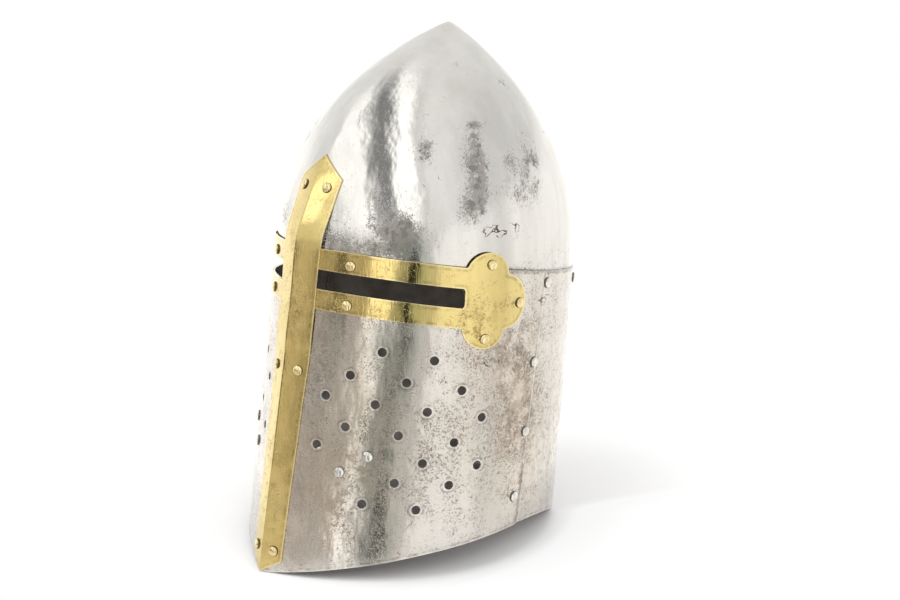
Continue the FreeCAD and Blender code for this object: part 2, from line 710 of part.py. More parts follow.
def petal(index):
    """Leather tongue from the band up to the ring at the crown, with an eyelet near its tip."""
    middle = math.radians(22.5 + 45.0 * index)
    ring = Vector(0, size["petal_ring_y"], size["petal_ring_z"])
    ring_r = size["petal_ring_r"]
    outer, inner = [], []
    for i in range(6):
        s = i / 5.0
        outer_row, inner_row = [], []
        for j in range(5):
            k = -1.0 + j / 2.0
            base = band_top_point(middle + k * PETAL_HALF_ANGLE)
            angle = middle + k * (PETAL_HALF_ANGLE * (1.0 - 0.12 * s))
            cos, sin = math.cos(angle), math.sin(angle)
            tip = ring + Vector(cos * ring_r, sin * ring_r, 0)
            control = Vector(tip.x + (base.x - tip.x) * 0.86, tip.y + (base.y - tip.y) * 0.86,
                             base.z + (tip.z - base.z) * 0.78)
            p = base * ((1 - s) ** 2) + control * (2 * s * (1 - s)) + tip * (s * s)
            inward = Vector(-cos * (1 - 0.75 * s), -sin * (1 - 0.75 * s), -s)
            inward.normalize()
            outer_row.append(p)
            inner_row.append(p + inward * size["petal_t"])
        outer.append(outer_row)
        inner.append(inner_row)
    eyelet_r = ring_r + EYELET_INSET
    eyelet = ring + Vector(math.cos(middle) * eyelet_r, math.sin(middle) * eyelet_r, 30)
    return slab(outer, inner).cut(Part.makeCylinder(EYELET_R, 60, eyelet, Vector(0, 0, -1)))


for index in range(PETALS):
    add_part("liner_petal_%d" % (index + 1), [petal(index)])

lace = doc.addObject("Part::Torus", "liner_lace")
lace.setExpression("Radius1", "Sheet.petal_ring_r - 6")
lace.setExpression("Radius2", "Sheet.lace_r")
lace.setExpression(".Placement.Base.y", "Sheet.petal_ring_y + Sheet.origin_shift")
lace.setExpression(".Placement.Base.z", "Sheet.petal_ring_z")

# ---------------------------------------------------------------- chin strap
SQUARE_CORNER = 1.4142  # half diagonal over half side, for the square buckle bar
swing_y = size["swing_y"]


def ribbon(path, thickness):
    """Strap bent along an (x, z) path, as wide as the strap along Y."""
    y = swing_y - size["strap_w"] / 2
    rims = ([], [])
    for i, (x, z) in enumerate(path):
        before = path[max(i - 1, 0)]
        after = path[min(i + 1, len(path) - 1)]
        dx, dz = after[0] - before[0], after[1] - before[1]
        length = math.hypot(dx, dz)
        shift_x, shift_z = -dz / length * thickness / 2, dx / length * thickness / 2
        rims[0].append(Vector(x + shift_x, y, z + shift_z))
        rims[1].append(Vector(x - shift_x, y, z - shift_z))
    curves = []
    for rim in rims:
        curve = Part.BSplineCurve()
        curve.interpolate(rim)
        curves.append(curve.toShape())
    start = Part.makeLine(rims[0][0], rims[1][0])
    end = Part.makeLine(rims[0][-1], rims[1][-1])
    edges = Part.sortEdges([curves[0], end, curves[1], start])[0]
    return Part.Face(Part.Wire(edges)).extrude(Vector(0, size["strap_w"], 0))


def arc_path(x, z, radius, start, end, count):
    angles = [math.radians(start + (end - start) * i / count) for i in range(count + 1)]
    return [(x + radius * math.cos(a), z + radius * math.sin(a)) for a in angles]


bar_x, bar_z = size["buckle_bar_x"], size["buckle_bar_z"]
fold_r = size["buckle_bar_r"] * SQUARE_CORNER + 0.07 + size["short_strap_t"] / 2
strap_x, corner = size["strap_x"], size["strap_corner"]
strap_top = size["swing_z"] - size["strap_gap"]
LONG_Z = 17.95          # long strap's level run on the left
short_z = bar_z + fold_r

# long strap: down the left side, through the frame under the bar, then under the short strap
long_path = [(strap_x, strap_top), (strap_x, 56.0), (strap_x, 42.0)]
long_path += arc_path(strap_x - corner, LONG_Z + corner, corner, 0, -90, 6)
long_path += [
    (20.0, LONG_Z), (14.5, LONG_Z), (11.6, 17.5), (8.8, 16.3), (5.6, 13.4), (2.6, 11.2),
    (-0.5, 10.6), (-4.0, 10.5), (-7.5, 10.95), (-10.5, 12.5), (-13.5, 13.45), (-18.0, 13.5),
    (-23.0, 13.5)]
prong_hole = Part.makeBox(7.0, 3.4, 12, Vector(1.2, swing_y - 1.7, 8.0))
spare_hole = Part.makeCylinder(1.6, 8, Vector(21.5, swing_y, 14.0), UP)
long_strap = ribbon(long_path, size["strap_t"])
add_part("chin_strap_long", [long_strap.cut(prong_hole).cut(spare_hole)])

# short strap: down the right side, round the buckle bar and back under itself
short_path = [(-strap_x, strap_top), (-strap_x, 56.0), (-strap_x, 42.0)]
short_path += arc_path(-strap_x + corner, short_z + corner, corner, 180, 270, 6)
short_path += [(-19.0, short_z), (-13.0, short_z), (-8.0, short_z)]
short_path += arc_path(bar_x, bar_z, fold_r, 90, -90, 9)
short_path += [(-6.4, 13.45), (-8.8, 14.75), (-11.0, 15.75), (-13.6, 16.2), (-20.5, 16.25)]
prong_slot = Part.makeBox(9.0, size["prong_w"] + 1.0, 12.0,
                          Vector(bar_x - 3.6, swing_y - size["prong_w"] / 2 - 0.5, 11.3))
add_part("chin_strap_short", [ribbon(short_path, size["short_strap_t"]).cut(prong_slot)])


def rectangle(x_low, x_high, y_low, y_high):
    return [(x_low, y_low), (x_high, y_low), (x_high, y_high), (x_low, y_high)]


# ---------------------------------------------------------------- buckle frame with its bar
frame = doc.addObject("PartDesign::Body", "buckle_frame")
frame_half_w, frame_half_t = dim("frame_w") * 0.5, dim("frame_t") * 0.5
frame_low_y, frame_high_y = dim("swing_y") - frame_half_w, dim("swing_y") + frame_half_w
frame_outline = outline_sketch(
    frame, "frame_outline", "XY_Plane",
    rectangle(dim("frame_near"), dim("frame_far"), frame_low_y, frame_high_y),
    dim("buckle_bar_z") - frame_half_t)
extrusion(frame, "Pad", "frame_pad", frame_outline, dim("frame_t"))
rail = dim("frame_rail")
frame_window = outline_sketch(
    frame, "frame_window", "XY_Plane",
    rectangle(dim("buckle_bar_x") + dim("buckle_bar_r"), dim("frame_far") - rail,
              frame_low_y + rail, frame_high_y - rail),
    dim("buckle_bar_z") + frame_half_t)
frame_pocket = extrusion(frame, "Pocket", "frame_pocket", frame_window, dim("frame_t") + 1)


def is_outer_corner(edge):
    """A vertical edge on one of the frame's outer sides."""
    first, last = edge.Vertexes[0].Point, edge.Vertexes[-1].Point
    on_outside = abs(abs(first.y - swing_y) - size["frame_w"] / 2) < 0.1
    return abs(first.z - last.z) > 1 and on_outside


frame_fillet = frame.newObject("PartDesign::Fillet", "frame_corners")
frame_fillet.Base = (frame_pocket, [
    "Edge%d" % i for i, edge in enumerate(frame_pocket.Shape.Edges, start=1)
    if is_outer_corner(edge)])
frame_fillet.Radius = size["frame_corner"]
frame_fillet.setExpression("Radius", "Sheet.frame_corner")
doc.recompute()

# ---------------------------------------------------------------- buckle prong turning on the bar
# (x, z) from the bar's centre: the strip below, the square eye above
PRONG_OUTLINE = [(-2.45, -2.72), (18.0, -2.72), (18.7, -2.2), (18.0, -1.5), (2.55, -1.5),
                 (2.55, 2.55), (-2.45, 2.55)]
prong = doc.addObject("PartDesign::Body", "buckle_prong")
bar_centre = dim("buckle_bar_x"), dim("buckle_bar_z")
prong_side = outline_sketch(
    prong, "prong_side", "XZ_Plane",
    [(bar_centre[0] + x, bar_centre[1] + z) for x, z in PRONG_OUTLINE],
    dim("swing_y") - dim("prong_w") * 0.5)
eye_r = dim("buckle_bar_r") * SQUARE_CORNER + 0.16
eye = prong_side.addGeometry(Part.Circle(Vector(bar_x, bar_z, 0), UP, eye_r.value), False)
eye_size = prong_side.addConstraint(Sketcher.Constraint("Radius", eye, eye_r.value))
prong_side.setExpression("Constraints[%d]" % eye_size, eye_r.text)
pin_point(prong_side, eye, 3, *bar_centre)
extrusion(prong, "Pad", "prong_pad", prong_side, dim("prong_w"), backward=True)

# ---------------------------------------------------------------- strap keeper: a leather loop
keeper = doc.addObject("PartDesign::Body", "strap_keeper")
keeper_start = dim("keeper_x") - dim("keeper_l") * 0.5
keeper_t = dim("keeper_t")
keeper_low_y = dim("swing_y") - dim("strap_w") * 0.5 - 0.5
keeper_high_y = dim("swing_y") + dim("strap_w") * 0.5 + 0.5
keeper_outline = outline_sketch(
    keeper, "keeper_outline", "YZ_Plane",
    rectangle(keeper_low_y - keeper_t, keeper_high_y + keeper_t,
              dim("keeper_low") - keeper_t, dim("keeper_high") + keeper_t), keeper_start)
extrusion(keeper, "Pad", "keeper_pad", keeper_outline, dim("keeper_l"))
keeper_window = outline_sketch(
    keeper, "keeper_window", "YZ_Plane",
    rectangle(keeper_low_y, keeper_high_y, dim("keeper_low"), dim("keeper_high")),
    keeper_start - 1)
extrusion(keeper, "Pocket", "keeper_pocket", keeper_window, dim("keeper_l") + 2, backward=True)

# ---------------------------------------------------------------- shift, check and export
to_origin = Placement(Vector(0, size["origin_shift"], 0), Rotation())
for name in PARTS:
    # the lace's own expressions hold the shift, and the right arm follows the left one
    if name not in ("liner_lace", "brass_arm_right"):
        part = doc.getObject(name)
        part.Placement = to_origin.multiply(part.Placement)
doc.recompute()

bad = [(item.Name, item.State) for item in doc.Objects
       if "Invalid" in item.State or "Error" in item.State]
for name in PARTS:
    part = doc.getObject(name)
    if part is None or part.Shape.isNull() or not part.Shape.isValid() or not part.Shape.Solids:
        bad.append((name, "shape"))
if bad:
    raise RuntimeError("failed objects: %s" % bad)

os.makedirs("parts", exist_ok=True)
for name in PARTS:
    part = doc.getObject(name)
    part.Label = name
    shape = part.Shape
    if part.TypeId == "PartDesign::Body":
        shape = part.Tip.Shape.copy()
        shape.Placement = part.Placement.multiply(shape.Placement)
    shape.exportStep("parts/%s.step" % name)
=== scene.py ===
# A riveted great helm: steel dome, face plate and rear plate, brass keel bar and slit borders,
# a leather liner of eight petals, and a chin strap with a brass buckle.
# The face looks along -Y, the helm's left is +X, Z is up and the open bottom stands at z = 0.
# Shapes are worked out in mm and turned into metres by make_mesh.
import math
import bpy
import numpy as np
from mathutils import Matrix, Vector
from mathutils.geometry import delaunay_2d_cdt


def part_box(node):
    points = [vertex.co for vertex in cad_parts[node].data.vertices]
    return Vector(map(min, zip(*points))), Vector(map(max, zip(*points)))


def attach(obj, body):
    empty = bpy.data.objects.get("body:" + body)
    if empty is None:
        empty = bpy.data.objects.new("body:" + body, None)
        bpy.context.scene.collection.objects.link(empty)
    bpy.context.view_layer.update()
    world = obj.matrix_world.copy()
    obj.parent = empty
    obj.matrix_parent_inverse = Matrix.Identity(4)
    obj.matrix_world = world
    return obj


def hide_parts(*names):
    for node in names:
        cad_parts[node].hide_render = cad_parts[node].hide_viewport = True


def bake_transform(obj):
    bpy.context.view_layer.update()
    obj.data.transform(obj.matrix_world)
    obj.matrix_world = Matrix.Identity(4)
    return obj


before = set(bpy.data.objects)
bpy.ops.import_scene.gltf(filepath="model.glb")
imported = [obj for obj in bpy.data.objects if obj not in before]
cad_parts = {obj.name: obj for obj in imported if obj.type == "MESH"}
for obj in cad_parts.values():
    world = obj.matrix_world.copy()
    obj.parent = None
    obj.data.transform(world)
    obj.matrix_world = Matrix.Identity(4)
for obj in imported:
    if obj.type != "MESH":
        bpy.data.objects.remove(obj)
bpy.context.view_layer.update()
MM = 0.001
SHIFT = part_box("buckle_frame")[0][1] * 1000 + 117.0

# ============================================================ the helm's family of surfaces
# Every sheet lies on one surface, offset by a depth (mm, outward positive). A point on it is
# given by u (0 front crease, 1 side, 2 rear middle) and its height z.
APEX_Z, APEX_Y, APEX_LIFT = 380.0, 38.3, 1.3    # lift: rise of the apex per mm of depth
SPRING_Z = 208.0                                # height where the walls turn into the dome
# reach of the front, side and rear, and half-angle of the front crease (degrees)
SPRING_FRONT, SPRING_SIDE, SPRING_REAR, SPRING_ANGLE = 114.5, 107.5, 138.2, 71.7
FOOT_FRONT, FOOT_SIDE, FOOT_REAR, FOOT_ANGLE = 153.8, 110.6, 109.5, 69.4
FOOT_SIDE_Y = -14.7                             # y of the widest point at the foot
# Bezier handles of the plan: front crease, side ahead, side behind, rear middle
HANDLE_CREASE, HANDLE_AHEAD, HANDLE_BEHIND, HANDLE_REAR = 0.37, 0.59, 0.58, 0.54
# Bezier handles (lower, upper) of the dome's front, side and rear profiles
PROFILE_HANDLES = ((0.17, 0.84), (0.47, 0.71), (0.55, 0.07))
TIP, CREASE_FADE = 0.31, 1.45                   # slope at the apex, fading of the crease
SOFT = 30.0                                     # half height of the blend at SPRING_Z


def bezier(a, b, c, d, t):
    s = 1 - t
    return s ** 3 * a + 3 * s * s * t * b + 3 * s * t * t * c + t ** 3 * d


PROFILE_T = np.linspace(0, 1, 3001)
PROFILES = [(bezier(0, low, 1 - TIP * high, 1, PROFILE_T), bezier(1, 1, high, 0, PROFILE_T))
            for low, high in PROFILE_HANDLES]


def apex_z(depth):
    return APEX_Z + APEX_LIFT * depth


def raw_station(z, depth):
    """Front, side and rear reach, y of the side and crease angle at one height."""
    wall = np.minimum(z / SPRING_Z, 1.0)
    rise = np.clip((z - SPRING_Z) / (apex_z(depth) - SPRING_Z), 0, 1)
    angle = FOOT_ANGLE + (SPRING_ANGLE - FOOT_ANGLE) * wall
    front = FOOT_FRONT + (SPRING_FRONT - FOOT_FRONT) * wall + depth / np.sin(np.radians(angle))
    side = FOOT_SIDE + (SPRING_SIDE - FOOT_SIDE) * wall + depth
    rear = FOOT_REAR + (SPRING_REAR - FOOT_REAR) * wall + depth
    side_y = FOOT_SIDE_Y * (1 - wall)
    k_front, k_side, k_rear = [np.interp(rise, up, reach) for up, reach in PROFILES]
    return np.stack([(front + APEX_Y) * k_front - APEX_Y, side * k_side,
                     (rear - APEX_Y) * k_rear + APEX_Y, APEX_Y + (side_y - APEX_Y) * k_side,
                     angle + (90 - angle) * rise ** CREASE_FADE])


def station(z, depth):
    """raw_station averaged over nearby heights, to soften the turn at SPRING_Z."""
    reach = SOFT * np.maximum(0, 1 - np.abs(z - SPRING_Z) / (2 * SOFT))
    reach = np.where(reach < 0.5, 0, reach)
    total, weights = 0, 0
    for i in range(-4, 5):
        weight = 1 - abs(i) / 5
        total = total + weight * raw_station(z + reach * i / 5, depth)
        weights += weight
    return total / weights


def surf(u, z, depth):
    """Points of the +X half of the surface."""
    u, z, depth = np.broadcast_arrays(*(np.asarray(v, float) for v in (u, z, depth)))
    front, side, rear, side_y, angle = station(z, depth)
    angle = np.radians(angle)
    ahead, behind = np.clip(u, 0, 1), np.clip(u - 1, 0, 1)
    handle = HANDLE_CREASE * side
    x1 = bezier(0, handle, side, side, ahead)
    y1 = bezier(-front, -front + np.cos(angle) * HANDLE_CREASE * side / np.sin(angle),
                side_y - HANDLE_AHEAD * (side_y + front), side_y, ahead)
    x2 = bezier(side, side, HANDLE_REAR * side, 0, behind)
    y2 = bezier(side_y, side_y + HANDLE_BEHIND * (rear - side_y), rear, rear, behind)
    return np.stack([np.where(u <= 1, x1, x2), np.where(u <= 1, y1, y2), z], -1)


def point(u, z, depth):
    return surf(np.array([u]), np.array([z]), depth)[0]


def smooth(a, b, x):
    t = np.clip((x - a) / (b - a), 0, 1)
    return t * t * (3 - 2 * t)


def even(depth):
    """A layer of one depth. A layer gives the depth at (u, z)."""
    return lambda u, z: depth + 0 * np.asarray(u, float) + 0 * np.asarray(z, float)


DOME_OUT, DOME_IN, REAR_IN, FACE_IN, BAND_IN = -0.7, -2.1, -0.66, -0.66, -4.4
dome_out, dome_in = even(DOME_OUT), even(DOME_IN)
rear_out, rear_in = even(0.74), even(REAR_IN)
band_out, band_in = even(-2.2), even(BAND_IN)
# The face plate steps outward toward the side, where it laps over the rear plate.
face_in = lambda u, z: FACE_IN + 1.44 * smooth(0.60, 0.94, u) + 0 * z
face_out = lambda u, z: face_in(u, z) + 1.4
arm_in = lambda u, z: face_out(u, z) + 0.04
arm_out = lambda u, z: arm_in(u, z) + 1.0
# The keel bar steps outward over the arms and back in onto the dome.
bar_in = lambda u, z: (0.86 + 1.04 * smooth(150, 174, z) * (1 - smooth(234, 262, z))
                       - 1.42 * smooth(234, 262, z) + 0 * u)
bar_out = lambda u, z: bar_in(u, z) + 1.2

# Low dents and hammer waves shared by every sheet, so that layers keep their distance.
rng = np.random.RandomState(11)
# waves: turns round the helm, turn per mm of height, phase, strength
WAVES = [(rng.randint(3, 15), rng.uniform(-1, 1) * 2 * math.pi / 95, rng.uniform(0, 6.28),
          rng.uniform(0.35, 1.0)) for _ in range(16)]
# dents: q, z, reach round, reach up, depth (mm)
DENTS = (
    (0.46, 232, 9, 26, -0.28), (0.62, 128, 16, 40, -0.24), (-0.6, 150, 20, 44, -0.3),
    (1.35, 95, 26, 40, -0.34), (-1.4, 250, 26, 30, -0.3), (0.30, 60, 14, 40, 0.2),
    (-1.1, 70, 22, 34, 0.26), (1.75, 240, 24, 30, -0.22))
SCALE = 150.0  # mm of the flat pattern per unit of q


def wave(q, z):
    height = 0
    for turns, climb, phase, strength in WAVES:
        height = height + strength * 0.052 / (0.5 + turns / 10) * np.cos(
            turns * math.pi * q / 2 + climb * z + phase)
    for q0, z0, reach_q, reach_z, depth in DENTS:
        height = height + depth * np.exp(
            -((q - q0) * SCALE / reach_q) ** 2 - ((z - z0) / reach_z) ** 2)
    return height * np.clip((372 - z) / 110, 0, 1)  # dies out at the apex


def at(q, z, layer, crease=0.8, extra=0.0):
    """Point of a layer. q is the signed u: + on the left, - on the right, +-2 the rear.

    crease is the rounding of the front crease in mm.
    """
    q, z = np.broadcast_arrays(np.asarray(q, float), np.asarray(z, float))
    q = (q + 2) % 4 - 2

    def sharp(signed):
        u = np.abs(signed)
        p = surf(u, z, layer(u, z) + wave(signed, z) + extra)
        p[..., 0] *= np.where(signed < 0, -1, 1)
        return p
    width = np.broadcast_to(np.asarray(crease, float) / SCALE, q.shape)
    near = np.abs(q) < 1.6 * width
    p = sharp(q)
    if near.any():
        reach = width * np.clip(1.6 - np.abs(q) / width, 0, 1)
        total, weights = 0, 0
        for i in range(-3, 4):
            weight = 1 - abs(i) / 4
            total = total + weight * sharp(q + reach * i / 3)
            weights += weight
        p = np.where(near[..., None], total / weights, p)
    return p


def unit(v):
    return v / np.maximum(np.linalg.norm(v, axis=-1, keepdims=True), 1e-12)


def frame_at(q, z, layer, crease=0.8):
    """Point, outward unit normal and the two tangents per unit of q and of z."""
    dq, dz = 0.0025, 0.4
    p = at(q, z, layer, crease)
    tan_q = (at(q + dq, z, layer, crease) - at(q - dq, z, layer, crease)) / (2 * dq)
    tan_z = (at(q, z + dz, layer, crease) - at(q, z - dz, layer, crease)) / (2 * dz)
    n = np.cross(tan_q, tan_z)
    n /= np.maximum(np.linalg.norm(n, axis=-1, keepdims=True), 1e-9)
    return p, n, tan_q, tan_z


def to_qz(direction, length, tan_q, tan_z):
    """Changes of q and z that move a point by length * direction within the surface."""
    qq, qz, zz = (tan_q * tan_q).sum(-1), (tan_q * tan_z).sum(-1), (tan_z * tan_z).sum(-1)
    along_q, along_z = (direction * tan_q).sum(-1) * length, (direction * tan_z).sum(-1) * length
    det = qq * zz - qz * qz
    return (along_q * zz - along_z * qz) / det, (along_z * qq - along_q * qz) / det


# ============================================================ mesh helpers
RIM_ANGLES = (45, 0, -45)  # degrees round a leather rim


def make_mesh(name, verts, faces, normals, attrs, material):
    """Smooth object from points in mm, with a normal and attribute values per vertex."""
    mesh = bpy.data.meshes.new(name)
    mesh.from_pydata(((np.asarray(verts) + [0, SHIFT, 0]) * MM).tolist(), [], faces)
    mesh.update()
    mesh.polygons.foreach_set("use_smooth", [True] * len(mesh.polygons))
    for key, values in attrs.items():
        layer = mesh.attributes.new(key, "FLOAT", "POINT")
        layer.data.foreach_set("value", np.asarray(values, np.float32))
    corners = np.array([i for f in faces for i in f])
    mesh.normals_split_custom_set(unit(normals[corners]).tolist())
    obj = bpy.data.objects.new(name, mesh)
    bpy.context.scene.collection.objects.link(obj)
    mesh.materials.append(material)
    return obj


def place(obj, body, node=None):
    """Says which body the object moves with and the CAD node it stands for."""
    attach(obj, body)
    if node:
        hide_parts(node)


def vertex_normals(verts, faces, diagonals=True):
    """Summed face normals; quads use their diagonals unless told otherwise."""
    verts = np.asarray(verts)
    normals = np.zeros_like(verts)
    for f in faces:
        p = verts[list(f)]
        if len(f) == 4 and diagonals:
            n = np.cross(p[2] - p[0], p[3] - p[1])
        else:
            n = np.cross(p[1] - p[0], p[2] - p[0])
        for i in f:
            normals[i] += n
    return unit(normals)


def solid(name, shapes, material, key="wear"):
    """One object from shapes (verts, faces, attribute values[, normals])."""
    verts, faces, values, normals, count = [], [], [], [], 0
    for v, f, value, *given in shapes:
        verts.append(v)
        values.append(value)
        normals.append(given[0] if given else vertex_normals(v, f))
        faces += [tuple(int(i) + count for i in face) for face in f]
        count += len(v)
    return make_mesh(name, np.concatenate(verts), faces, np.concatenate(normals),
                     {key: np.concatenate(values)}, material)


def quads_along(a, b):
    """Quads between two closed rings of indices, each starting along ring a."""
    quads = np.stack([a, np.roll(a, -1), np.roll(b, -1), b], -1)
    return [tuple(f) for f in quads.tolist()]


def quads_across(a, b):
    """Quads between two closed rings of indices, each starting from a over to b."""
    quads = np.stack([a, b, np.roll(b, -1), np.roll(a, -1)], -1)
    return [tuple(f) for f in quads.tolist()]


def flipped(faces):
    return [f[::-1] for f in faces]


def facing(faces, verts, outward):
    """The faces, turned over if the first one looks away from the outward direction."""
    p = verts[list(faces[0])]
    away = np.dot(np.cross(p[1] - p[0], p[2] - p[0]), outward) < 0
    return flipped(faces) if away else faces


def inside(points, loops):
    """Even-odd test of points against closed loops."""
    result = np.zeros(len(points), bool)
    for a in loops:
        b = np.roll(a, -1, 0)
        in_box = (points >= a.min(0)) & (points <= a.max(0))
        index = np.nonzero(in_box.all(1))[0]
        for s in range(0, len(index), 4000):
            i = index[s:s + 4000]
            x, y = points[i, 0][:, None], points[i, 1][:, None]
            spans = (a[:, 1][None] > y) != (b[:, 1][None] > y)
            with np.errstate(divide="ignore", invalid="ignore"):
                cut = ((b[:, 0] - a[:, 0])[None] * (y - a[:, 1][None])
                       / (b[:, 1] - a[:, 1])[None] + a[:, 0][None])
            result[i] ^= (np.sum(spans & (x < cut), 1) % 2).astype(bool)
    return result


def nearest(points, others):
    """Distance from each point to the closest of the others."""
    out = np.empty(len(points))
    for s in range(0, len(points), 3000):
        d = points[s:s + 3000, None, :] - others[None]
        out[s:s + 3000] = np.sqrt((d * d).sum(-1)).min(1)
    return out


def signed_area(loop):
    ahead = np.roll(loop, -1, 0)
    return np.sum(loop[:, 0] * ahead[:, 1] - ahead[:, 0] * loop[:, 1])


def path_lengths(path):
    return np.concatenate([[0], np.cumsum(np.linalg.norm(np.diff(path, axis=0), axis=1))])


def resample(loop, step):
    """Even spacing along a closed loop, keeping corners sharper than 25 degrees."""
    loop = loop[np.linalg.norm(np.roll(loop, -1, 0) - loop, axis=1) > 1e-4]
    a, b = loop - np.roll(loop, 1, 0), np.roll(loop, -1, 0) - loop
    turn = np.abs(np.arctan2(a[:, 0] * b[:, 1] - a[:, 1] * b[:, 0], (a * b).sum(1)))
    corners = np.nonzero(turn > math.radians(25))[0]
    if len(corners) == 0:
        corners = np.array([0])
    out, n = [], len(loop)
    for j, start in enumerate(corners):
        span = (corners[(j + 1) % len(corners)] - start) % n or n
        part = loop[[(start + i) % n for i in range(span + 1)]]
        s = path_lengths(part)
        t = np.linspace(0, s[-1], max(int(round(s[-1] / step)), 1) + 1)[:-1]
        out.append(np.stack([np.interp(t, s, part[:, 0]), np.interp(t, s, part[:, 1])], -1))
    return np.concatenate(out)


# ============================================================ sheet metal from flat outlines
RIM_STEPS = (30, 62, 90)  # degrees round a sheet's rolled rim, from each face outward


def plane_points(loops, grid, fine_crease):
    """Filling points for an outline: staggered rows, with close columns along the crease."""
    bound = np.concatenate(loops)
    (x0, y0), (x1, y1) = bound.min(0), bound.max(0)
    points = []
    for i, y in enumerate(np.arange(y0, y1, grid * 0.87)):
        x = np.arange(x0 + (i % 2) * grid / 2, x1, grid)
        if fine_crease:
            x = x[np.abs(x) > 2.2]
        points.append(np.stack([x, np.full(len(x), y)], -1))
    if fine_crease:
        y = np.arange(y0, y1, grid * 0.6)
        for x in (0, 0.3, -0.3, 0.65, -0.65, 1.0, -1.0, 1.45, -1.45):
            points.append(np.stack([np.full(len(y), x), y], -1))
    points = np.concatenate(points)
    points = points[inside(points, loops)]
    clearance = np.where(np.abs(points[:, 0]) < 1.5, 0.35, grid * 0.42)
    return points[nearest(points, bound) > clearance]


def triangulate(loops, points):
    """Flat vertices, triangles inside the loops, and each loop's vertex indices."""
    points = np.concatenate(loops + [points])
    edges, base = [], 0
    for loop in loops:
        edges += [(base + i, base + (i + 1) % len(loop)) for i in range(len(loop))]
        base += len(loop)
    vectors = [Vector((float(x), float(y))) for x, y in points]
    flat, _, faces, origins, _, _ = delaunay_2d_cdt(vectors, edges, [], 0, 1e-7)
    flat = np.array([(v.x, v.y) for v in flat])
    back = np.full(len(points), -1)
    for i, sources in enumerate(origins):
        for source in sources:
            back[source] = i
    tri = np.array([f for f in faces if len(f) == 3])
    tri = tri[inside(flat[tri].mean(1), loops)]
    area = np.cross(flat[tri[:, 1]] - flat[tri[:, 0]], flat[tri[:, 2]] - flat[tri[:, 0]])
    tri, area = tri[np.abs(area) > 1e-6], area[np.abs(area) > 1e-6]
    tri = np.where((area < 0)[:, None], tri[:, ::-1], tri)
    used = np.unique(tri)
    remap = np.full(len(flat), -1)
    remap[used] = np.arange(len(used))
    rims, base = [], 0
    for loop in loops:
        rims.append(remap[back[base:base + len(loop)]])
        base += len(loop)
    return flat[used], remap[tri], rims


def sheet(name, loops, outer, inner, attr, material, grid, bevel=0.30, edge_step=1.2,
          crease=0.8, shift=0.0, fine_crease=False):
    """Sheet-metal part between two layers; loops are its outline, then its holes, in (q, z).

    The loops' q is measured from shift. The rim is rolled to the radius bevel all round.
    """
    flat_loops, outward = [], []
    for k, loop in enumerate(loops):
        loop = np.asarray(loop, float) * [SCALE, 1]
        loop = resample(loop, edge_step if k == 0 or len(loop) > 90 else edge_step * 0.5)
        if (signed_area(loop) > 0) != (k == 0):
            loop = loop[::-1]
        q, z = loop[:, 0] / SCALE, loop[:, 1]
        p, n, tan_q, tan_z = frame_at(q + shift, z, outer, crease)
        inward = unit(np.cross(n, unit(np.roll(p, -1, 0) - np.roll(p, 1, 0))))
        dq, dz = to_qz(inward, bevel, tan_q, tan_z)
        flat_loops.append(np.stack([(q + dq) * SCALE, z + dz], -1))
        outward.append(-inward)
    flat, tri, rims = triangulate(flat_loops, plane_points(flat_loops, grid, fine_crease))
    q, z = flat[:, 0] / SCALE + shift, flat[:, 1]
    p_out, n_out = frame_at(q, z, outer, crease)[:2]
    p_in, n_in = frame_at(q, z, inner, crease)[:2]
    n = len(flat)
    verts, normals, all_q, all_z = [p_out, p_in], [n_out, -n_in], [q, q], [z, z]
    faces = [tuple(t) for t in tri.tolist()]
    faces += [(a + n, c + n, b + n) for a, b, c in tri.tolist()]
    count = 2 * n
    for rim, out in zip(rims, outward):
        rings = [rim]
        for base, up, sign, steps in ((p_out[rim], n_out[rim], 1, RIM_STEPS),
                                      (p_in[rim], n_in[rim], -1, RIM_STEPS[::-1])):
            for angle in np.radians(steps):
                turned = math.sin(angle) * out + sign * math.cos(angle) * up
                verts.append(base - sign * bevel * up + bevel * turned)
                normals.append(unit(turned))
                all_q.append(q[rim])
                all_z.append(z[rim])
                rings.append(np.arange(count, count + len(rim)))
                count += len(rim)
        rings.append(rim + n)
        for a, b in zip(rings[:-1], rings[1:]):
            faces += quads_across(a, b)
    verts = np.concatenate(verts)
    edge = np.zeros(len(verts))
    edge[:n] = nearest(np.stack([(q - shift) * SCALE, z], -1), np.concatenate(flat_loops))
    attrs = {"edge": np.exp(-edge / 1.6),
             "inner": np.concatenate([np.zeros(n), np.ones(n), np.zeros(len(verts) - 2 * n)])}
    attrs.update(attr((np.concatenate(all_q) + 2) % 4 - 2, np.concatenate(all_z)))
    return make_mesh(name, verts, faces, np.concatenate(normals), attrs, material)


def along_y(curve, u_from, u_to, layer, n, z_start):
    """n points (u, z) on the curve z = curve(y)."""
    u = np.linspace(u_from, u_to, n)
    z = np.full(n, float(z_start))
    for _ in range(8):
        z = curve(surf(u, z, layer(u, z))[:, 1])
    return np.stack([u, z], -1)


def solve_u(axis, want, z, layer, low=0.0, high=1.999):
    """u where the layer's x (axis 0) or y (axis 1) is want at height z; both grow with u."""
    z, want = np.broadcast_arrays(np.asarray(z, float), np.asarray(want, float))
    a, b = np.full(z.shape, low), np.full(z.shape, high)
    for _ in range(34):
        mid = (a + b) / 2
        short = surf(mid, z, layer(mid, z))[..., axis] < want
        a, b = np.where(short, mid, a), np.where(short, b, mid)
    return (a + b) / 2


def start_on(curve, x, z, layer):
    """u and z where the curve z = curve(y) passes x, from a guess of z."""
    for _ in range(8):
        u = float(solve_u(0, x, z, layer, 0, 0.9))
        z = float(curve(point(u, z, layer(u, z))[1]))
    return u, z


def crossing(edge_y, curve, z, passes):
    """Height where the edge y = edge_y(z) meets z = curve(y), from a guess of z."""
    for _ in range(passes):
        z = float(curve(edge_y(z)))
    return z


